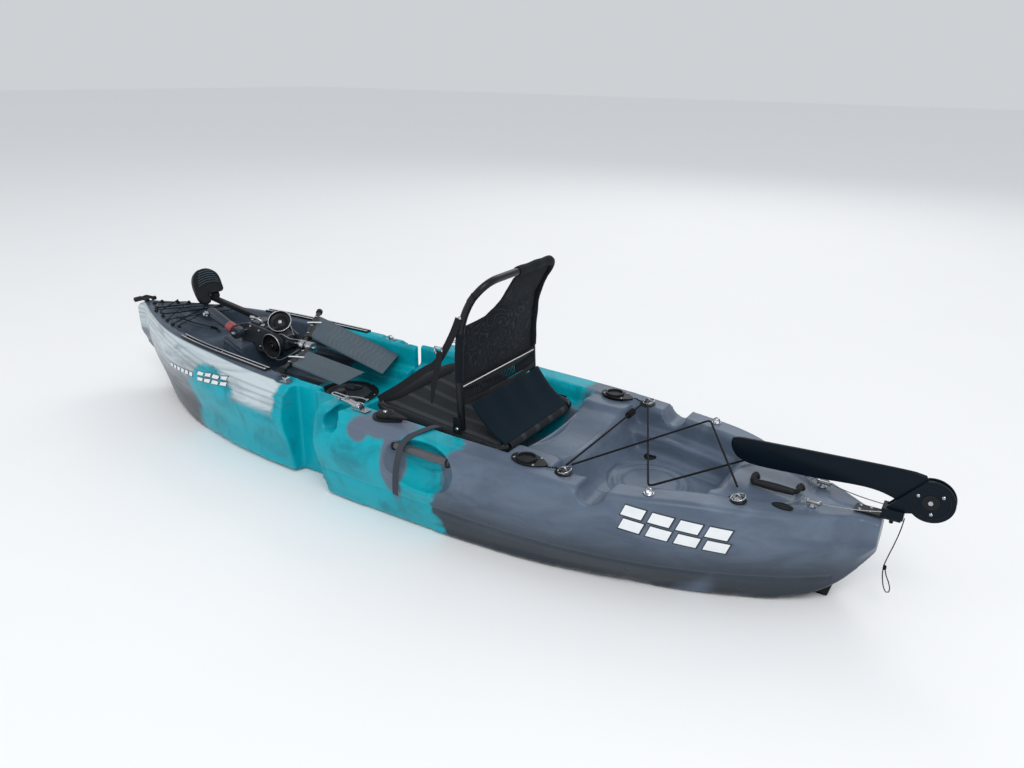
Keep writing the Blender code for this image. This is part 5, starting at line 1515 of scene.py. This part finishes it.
def left_arm():
    axle, along, up = pedal_arm(0.104, math.radians(LEFT_ARM_TURN))
    hub = arm_hub(axle)
    stops = mm((14, 12), (30, 14), (50, 18.8), (100, 19.4), (146, 19.9), (154, 18), (160, 15))
    rows = [[axle + along * far + Vector((0, r * c, 0)) + up * (r * s) for c, s in circle(36)]
            for far, r in stops]
    piece("left_arm_grip", [hub, loft(rows)], "arm", "left_arm", ["left_pedal_arm"], sharp=50)
    tip = axle + along * 0.150
    pin = rod(tip, tip + Vector((0, 0.036, 0)), 0.0062, 20, round_off=0.001)
    end = lathe(mm((0.1, 2), (9, 1.8), (12.5, 0), (0.1, -1)), axle + along * 0.1602,
                along, 24)
    nut = lathe(mm((6.2, 0), (11, 0), (11, 5), (6.2, 5)), tip + Vector((0, 0.0205, 0)),
                (0, 1, 0), 6, closed=True)
    piece("left_arm_chrome", [pin, end, nut], "steel", "left_arm")
    collar = lathe(mm((12.5, 0), (19.5, 1), (20.5, 6), (20.5, 24), (19.5, 29), (12.5, 30)),
                   axle + along * 0.022, along, 36, closed=True)
    piece("left_arm_collar", [collar], "red", "left_arm")


def fin_set(word, hub_x, tip, trailing):
    fy, fz = FIN_SHAFT
    origin, tip = Vector((sum(hub_x) / 2, fy, fz)), Vector(tip)
    along = (tip - origin).normalized()
    body = f"{word}_fin"
    hub = lathe(mm((8, 0), (20, 0), (21, 2), (21, 30), (20, 32), (8, 32)),
                (hub_x[0], fy, fz), (1, 0, 0), 40, closed=True)
    root = origin + along * 0.0175 / math.hypot(along.y, along.z)
    piece(f"{word}_mast_hub", [hub], "steel", body, sharp=50)
    piece(f"{word}_mast_rod", [rod(root, tip, 0.0086, 24)], "black", body, [f"{word}_fin_mast"],
          sharp=50)
    knob = [lathe(mm((0.1, -2), (10, -2), (12.8, 0), (12.8, 4.5), (11.5, 6), (12.8, 7.5), (12.8, 16),
                     (10.5, 19.5), (0.1, 20)), tip, along, 32)]
    piece(f"{word}_mast_end", knob, "black", body)
    aft = along.cross(Vector((0.0, 0.0, 1.0))).normalized() * 0.016
    aft = aft if aft.x < 0 else -aft
    length = (tip - origin).length
    a, b = origin + along * 0.22 * length + aft, origin + along * 0.86 * length + aft
    d, c = Vector(trailing[1]), Vector(trailing[0])

    def surface(u, v):
        near, far = a.lerp(d, v), b.lerp(c, v)
        return near.lerp(far, u)

    def thick(u, v):
        body_half = float(np.interp(v, (0, 0.5, 1), (0.0055, 0.0034, 0.0021)))
        rim = min(1.0, 26 * min(u, 1 - u), 34 * (1 - v) + 0.25)
        return body_half * (0.35 + 0.65 * math.sqrt(max(0.0, rim)))

    def ribs(u, v):
        if not (0.14 < v < 0.95 and 0.07 < u < 0.93):
            return 0.0
        wave = v * 17 + 0.42 * math.sin(2 * math.pi * u)
        fade = min(1.0, 14 * (u - 0.07), 14 * (0.93 - u), 12 * (v - 0.14), 14 * (0.95 - v))
        return 0.0016 * fade * (max(0.0, math.sin(2 * math.pi * wave)) ** 0.8 - 0.5)
    piece(f"{word}_fin_blade", [slab(surface, 44, 210, thick, ribs)], "fin", body,
          [f"{word}_fin"], sharp=60)
    cuff_mid = origin + along * 0.52 * length
    side = (b - a).normalized()
    back, rise = aft.normalized(), Vector((0, 0, 1))
    cuff = []
    for k in range(33):
        middle = cuff_mid + side * (k / 32 - 0.5) * 0.62 * length
        wide = 0.0135 + 0.002 * math.cos(k * 0.5)
        cuff.append([middle + back * (u * wide + 0.002) + rise * (v * 0.0102)
                     for u, v in mm((-1000, 0), (-750, 750), (0, 1000), (900, 750), (1300, 300),
                                    (1300, -300), (900, -750), (0, -1000), (-750, -750))])
    piece(f"{word}_fin_cuff", [loft(cuff)], "black", body, sharp=50, bevel=0.0008)
    bolts = []
    for share in (0.30, 0.52, 0.80):
        spot = origin + along * share * length
        bolts.append(screw(spot.x, spot.y, spot.z + 0.0100, radius=0.0050))
    piece(f"{word}_fin_screws", bolts, "steel", body)
    mid = origin + along * 0.60 * length
    line = [mid - back * 0.021 + Vector((0, 0, 0.0120)), mid + Vector((0, 0, 0.0126)),
            mid + back * 0.034 + Vector((0, 0, 0.0120))]
    piece(f"{word}_fin_stripe", [ribbon(smooth_path(line, 0.004), 0.0100, 0.0012, tuple(side))], "piping",
          body)


def upper_drum():
    """Second cable bowl, tilted on top of the drive, with the chrome lever beside it."""
    centre, facing = Vector((0.640, 0.012, 0.4085)), Vector((-0.42, 0.62, 0.66)).normalized()
    bowl = lathe(mm((10, 0), (30, 0), (40, 6), (43, 20), (41.2, 20.5), (38, 9), (26, 5), (18, 12),
                    (10, 12.5)), centre, facing, 64, closed=True)
    stem = rod(centre - facing * 0.016, centre + facing * 0.010, 0.0100, 24, round_off=0.001)
    piece("upper_drum_bowl", [bowl, stem], "black", BOW)
    piece("upper_drum_rim", [ring_of(centre + facing * 0.0200, facing, 0.0420, 0.0016, 64, 10)], "alloy",
          BOW)
    lever = mm((700, 46, 398), (700, 50, 414), (712, 56, 424), (730, 62, 428))
    knob = rod((0.726, 0.060, 0.4275), (0.742, 0.066, 0.4300), 0.0056, 20, round_off=0.002)
    boss = rod((0.700, 0.045, 0.392), (0.700, 0.047, 0.402), 0.0085, 24, round_off=0.0015)
    nuts = [lathe(mm((0.1, 5), (7.5, 4.5), (8.2, 0), (0.1, 0)), centre + facing * 0.010,
                  facing, 6)]
    piece("drive_chrome_lever", [tube(smooth_path(lever, 0.003), 0.0030, 12), knob, boss, *nuts], "alloy",
          BOW)


def drive_cables():
    """Short control cables between the drums, the fin shaft and the deck."""
    routes = [mm((610, 92, 300), (580, 85, 296), (545, 60, 318), (520, 36, 338)),
              mm((650, 80, 328), (600, 62, 385), (560, 46, 372), (530, 30, 368)),
              mm((692, -46, 318), (640, -50, 300), (590, -30, 320), (560, 4, 345)),
              mm((735, -40, 378), (680, -34, 412), (620, -12, 400), (580, 10, 372))]
    parts = [tube(smooth_path(route, 0.006), 0.0017, 10) for route in routes]
    piece("drive_cables", parts, "cable", BOW)
    ends = [rod(route[0], Vector(route[0]).lerp(Vector(route[1]), 0.5), 0.0036, 16, round_off=0.001)
            for route in routes]
    piece("drive_cable_ends", ends, "steel", BOW)


def drive():
    drive_body()
    cable_drum("port", 0.610, 0.346, 0.0705, 0.096)
    cable_drum("starboard", 0.692, 0.360, -0.0305, -0.048)
    right_arm()
    left_arm()
    fin_set("port", (0.468, 0.500), (0.372, 0.255, 0.356), ((0.182, 0.190, 0.318), (0.205, 0.040, 0.312)))
    fin_set("starboard", (0.505, 0.537), (0.705, -0.250, 0.374),
            ((0.270, -0.225, 0.288), (0.200, -0.046, 0.280)))
    upper_drum()
    drive_cables()


# Rudder ----------------------------------------------------------------------------
def rudder():
    x = RUDDER_POST_X
    deck = sheer(-1.44) + 0.0012
    plate = box((-1.535, -0.020, deck), (-1.425, 0.020, deck + 0.006))
    piece("rudder_mount_plate", [plate], "black", STERN, ["rudder_bracket"],
          bevel=0.0016, steps=3)
    heads = [screw(px, py, deck + 0.0058, radius=0.0042) for px in (-1.437, -1.462) for py in (-0.011,
                                                                                               0.011)]
    piece("rudder_mount_screws", heads, "steel", STERN)
    low = deck + 0.0068
    px, pz = BLADE_PIVOT
    parts = [rod((x, 0, deck - 0.016), (x, 0, low + 0.006), 0.0050, 20),
             box((x - 0.026, -0.024, low), (x + 0.026, 0.024, low + 0.024))]
    for side in (1, -1):
        y = sorted((side * 0.0085, side * 0.0135))
        out = [(x + 0.018, y[0], 0.286), (x + 0.018, y[0], 0.304)]
        out += [(px + 0.055 * c, y[0], pz + 0.055 * s) for c, s in arc(70, 240, 40)]
        parts.append(prism(out, (0, y[1] - y[0], 0)))
    piece("rudder_head_body", parts, "blade", "rudder_head", ["rudder_head"], bevel=0.0014)
    trim = []
    for side in (1, -1):
        y = side * 0.0136
        trim.append(ring_of((px, y, pz), (0, side, 0), 0.0440, 0.0011, 64, 8))
        trim.append(lathe(mm((6, 0), (20, 0), (19.5, 1.6), (6, 2)),
                          (px, y, pz), (0, side, 0), 48, closed=True))
    piece("rudder_head_trim", trim, "black", "rudder_head")
    bolts = []
    for side in (1, -1):
        y = side * 0.0137
        bolts.append(lathe(mm((0.1, 4.5), (6, 4.2), (7.6, 2), (8, 0), (0.1, 0)),
                           (px, y + side * 0.0012, pz), (0, side, 0), 6))
        for turn in (20, 140, 260):
            a = math.radians(turn)
            bolts.append(screw(px + 0.032 * math.cos(a), y, pz + 0.032 * math.sin(a), (0, side, 0), 0.0044))
    bolts.append(rod((px, -0.0180, pz), (px, 0.0180, pz), 0.0054, 20))
    piece("rudder_pivot_bolts", bolts, "steel", "rudder_head", ["rudder_pivot"])
    outline = [(px + 0.052 * c, pz + 0.052 * s) for c, s in arc(75, 200, 30)]
    tail = mm((-1470, 338), (-1320, 330), (-1180, 322), (-1128, 326.5), (-1104, 340), (-1092, 360),
              (-1090, 380), (-1106, 391.5), (-1200, 397), (-1340, 404), (-1545, 411))
    curve = [(p.x, p.z) for p in smooth_path([(u, 0, w) for u, w in outline[-1:] + tail + outline[:1]],
                                             0.010)]
    shape = outline[1:-1] + curve
    cx = sum(u for u, _ in shape) / len(shape)

    def ring(scale, y):
        out = []
        for u, w in shape:
            mid = 0.362 if u > -1.53 else pz
            out.append((cx + (u - cx) * (1 - (1 - scale) * 0.05), y, mid + (w - mid) * scale))
        return out
    blade = loft([ring(0.90, -0.0058), ring(0.975, -0.0048), ring(1.0, -0.0020), ring(1.0, 0.0020),
                  ring(0.975, 0.0048), ring(0.90, 0.0058)])
    piece("rudder_blade_plate", [blade], "blade", "rudder_blade", ["rudder_blade"], sharp=50)
    rudder_lines(deck)


def rudder_lines(deck):
    for word, side in SIDES:
        x, y = -1.330, side * 0.062
        z = sheer(x) + 0.0008
        base = lathe(mm((0.1, 0), (11.2, 0), (11.2, 2), (8, 3.6), (6, 10), (0.1, 10)), (x, y, z), sides=32)
        barrel = rod((x - 0.020, y, z + 0.013), (x + 0.014, y, z + 0.013), 0.0052, 20, round_off=0.0015)
        nuts = [lathe(mm((0.1, 0), (6.6, 0), (6.6, 4), (0.1, 4)),
                      (x + u, y, z + 0.013), (1, 0, 0), 6) for u in (-0.020, 0.010)]
        eye = ring_of((x + 0.022, y, z + 0.0125), (0, 1, 0.2), 0.0072, 0.0015, 32, 8)
        piece(f"{word}_rudder_adjuster", [base, barrel, *nuts, eye], "steel", STERN,
              [f"{word}_rudder_cleat"])
        start = Vector((x - 0.021, y, z + 0.013))
        end = Vector((RUDDER_POST_X + 0.020, side * 0.0215, deck + 0.020))
        path = [start.lerp(end, k / 24) - Vector((0, 0,
                                                  0.004 * math.sin(math.pi * k / 24))) for k in range(25)]
        line = piece(f"{word}_rudder_line", [tube(path, 0.0014, 10)], "cable", None, sharp=0)
        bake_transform(line)
        lead = [Vector((x + 0.029, y, z + 0.0125)), Vector((x + 0.040, y + side * 0.018, z + 0.010)),
                Vector((x + 0.060, y + side * 0.044, z + 0.0085))]
        piece(f"{word}_rudder_lead", [tube(smooth_path(lead, 0.006), 0.0014, 10)], "cable", STERN)
        fx, fy = -1.268, side * 0.113
        fairlead = lathe(mm((0.1, 0), (20, 0), (20.5, 2.5), (15, 6), (7, 7.5), (0.1, 7.5)), (0, 0, 0),
                         sides=40)
        fairlead.transform(Matrix.Translation((fx, fy, sheer(fx) + 0.0008)) @ Matrix.Diagonal((1.35, 0.72,
                                                                                               1, 1)))
        piece(f"{word}_fairlead", [fairlead, screw(fx + 0.016, fy, sheer(fx) + 0.005, radius=0.003),
                                   screw(fx - 0.016, fy, sheer(fx) + 0.005, radius=0.003)], "black",
              STERN)


def pull_cord():
    """Thin cord that hangs from the rudder head, doubled back into a loop through its own knot."""
    points = mm((-1541, 0, 279.5), (-1540, 0, 262), (-1537, 1, 235), (-1531, 2, 200), (-1524, 1, 165),
                (-1519, 0, 135), (-1519, -1, 110), (-1523, -2, 85), (-1529, -2, 66), (-1536, -1, 56),
                (-1542, 2, 60), (-1543, 5, 74), (-1537, 6, 92), (-1529, 6, 108), (-1524, 6, 124))
    path = smooth_path(points, 0.006)
    cord = piece("rudder_pull_cord_line", [tube(path, 0.0014, 10)], "cord", STERN,
                 ["rudder_pull_cord"])
    loops = []
    for k in range(4):
        a = k * 1.3
        loops.append(ring_of((-1.5212, 0.0025, 0.124 + 0.0030 * k),
                             (0.3 * math.cos(a), 0.3 * math.sin(a), 1.0),
                             0.0032, 0.0015, 22, 8))
    knot = piece("rudder_cord_knot", loops, "cord", STERN)


def skid():
    outline = mm((-1415, 70), (-1400, 1.5), (-1345, 1.5), (-1265, 27.5))
    outline += [(x, keel(x) + 0.004) for x in (-1.22, -1.32, -1.39)]
    piece("stern_skid_block", [side_plate(outline, -0.020, 0.040)], "black", STERN, ["skid_plate"],
          bevel=0.002)


# Stripes ---------------------------------------------------------------------------
def stripes(name, skin, side, shapes, body, slot, mat, lift):
    """Flat marks laid on a hull side: outlines in (x, z), dropped on to the skin."""
    tree = BVHTree.FromObject(skin, bpy.context.evaluated_depsgraph_get())
    parts = []
    for shape in shapes:
        a, b, c, d = (Vector(corner) for corner in shape)
        nu, nv = max(2, round((b - a).length / 0.006)), 4
        bm = bmesh.new()

        def vertex(u, v):
            x, z = a.lerp(b, u).lerp(d.lerp(c, u), v)
            hit, normal, _, _ = tree.ray_cast(Vector((x + HX, side * 0.6, z)), Vector((0, -side, 0)))
            return bm.verts.new(hit + normal * lift - Vector((HX, 0, 0)))
        quads(bm, [[vertex(i / nu, j / nv) for i in range(nu + 1)] for j in range(nv + 1)])
        parts.append(bm)
    piece(name, parts, mat, body, sharp=0)


def bar(x, z, length, height, slope, lean=0.35, grow=0.0):
    """Slanting bar as four corners, along the side from x aft."""
    x, z, length, height = x + grow, z - grow, length + 2 * grow, height + 2 * grow
    return [(x, z), (x - length, z + slope * length), (x - length - lean * height,
                                                       z + slope * length + height),
            (x - lean * height, z + height)]


def marks(stern, bow):
    """Plain slanting bars stand where the real hull has its lettering."""
    for word, side in SIDES:
        aft = [(-0.915 - 0.068 * k, 0.214 - 0.0105 * k + 0.036 * row, 0.052, 0.026, -0.155)
               for k in range(4) for row in range(2)]
        fore = [(1.030 - 0.036 * k, 0.224 + 0.0031 * k, 0.024, 0.016, 0.086) for k in range(6)]
        fore += [(0.785 - 0.050 * k, 0.240 + 0.0065 * k + 0.020 * row, 0.037, 0.013, 0.13)
                 for k in range(4) for row in range(2)]
        sets = ((stern, "stern", STERN, "hull_blue", aft, 0.0032),
                (bow, "bow", BOW, "hull_grey", fore, 0.0022))
        for skin, part, body, slot, rows, edge in sets:
            outer = [bar(*row, grow=edge) for row in rows]
            inner = [bar(*row) for row in rows]
            stripes(f"{word}_{part}_bars_edge", skin, side, outer, body, slot, "ink", 0.0007)
            stripes(f"{word}_{part}_bars", skin, side, inner, body, slot, "white", 0.0014)


# Stage -----------------------------------------------------------------------------
def stage():
    bm = bmesh.new()
    bmesh.ops.create_grid(bm, x_segments=1, y_segments=1, size=40.0)
    mesh = bpy.data.meshes.new("floor")
    bm.to_mesh(mesh)
    bm.free()
    floor = bpy.data.objects.new("floor", mesh)
    floor.location = (0, 0, -0.0005)
    bpy.context.scene.collection.objects.link(floor)
    s = Shader("pale_floor", 0.9)
    floor.data.materials.append(s.finish(s.mix(s.noise(2.0), (0.925, 0.93, 0.935), (0.945, 0.95, 0.955))))
    world = bpy.data.worlds.new("studio")
    world.use_nodes = True
    sky = world.node_tree.nodes["Background"]
    sky.inputs[0].default_value = (0.93, 0.96, 1.0, 1.0)
    sky.inputs[1].default_value = 0.66
    bpy.context.scene.world = world
    for name, place, aim, size, power in (("key", (-4.0, 4.8, 7.2), (0, 0, 0.2), 4.2, 345.0),
                                          ("fill", (5.0, 5.2, 4.6), (0.4, 0, 0.2), 4.0, 40.0),
                                          ("rim", (0.8, -6.4, 5.2), (0, 0, 0.2), 4.0, 90.0)):
        light = bpy.data.lights.new(name, "AREA")
        light.size = size
        light.energy = power
        lamp = bpy.data.objects.new(name, light)
        place, aim = Vector(place), Vector(aim)
        lamp.matrix_world = placed(place, place - aim)
        bpy.context.scene.collection.objects.link(lamp)
    view = bpy.context.scene.view_settings
    view.view_transform = "Standard"
    view.look = "None"


# Build -----------------------------------------------------------------------------
make_camera()
MATS = make_materials()
pull_cord()
stern_skin, bow_skin = build_hulls()
hatch()
for word, side in SIDES:
    gear_track(word, side)
    rod_holder(word, side)
    pad_eye(f"{word}_pad_eye_fore", -0.726, side * 0.290, ring=True)
    pad_eye(f"{word}_pad_eye_aft", -0.965, side * 0.268)
pad_eye("port_pad_eye_quarter", -1.163, 0.159, ring=True, stands_for=())
deck_lines()
scupper("tank_scupper", -0.790, -0.185, TANK_FLOOR)
scupper("tank_scupper_port", -0.980, 0.150, TANK_FLOOR)
handles()
grab_handles()
latches()
side_controls()
seat_base()
seat_back()
seat_straps()
drive()
rudder()
skid()
marks(stern_skin, bow_skin)
stage()
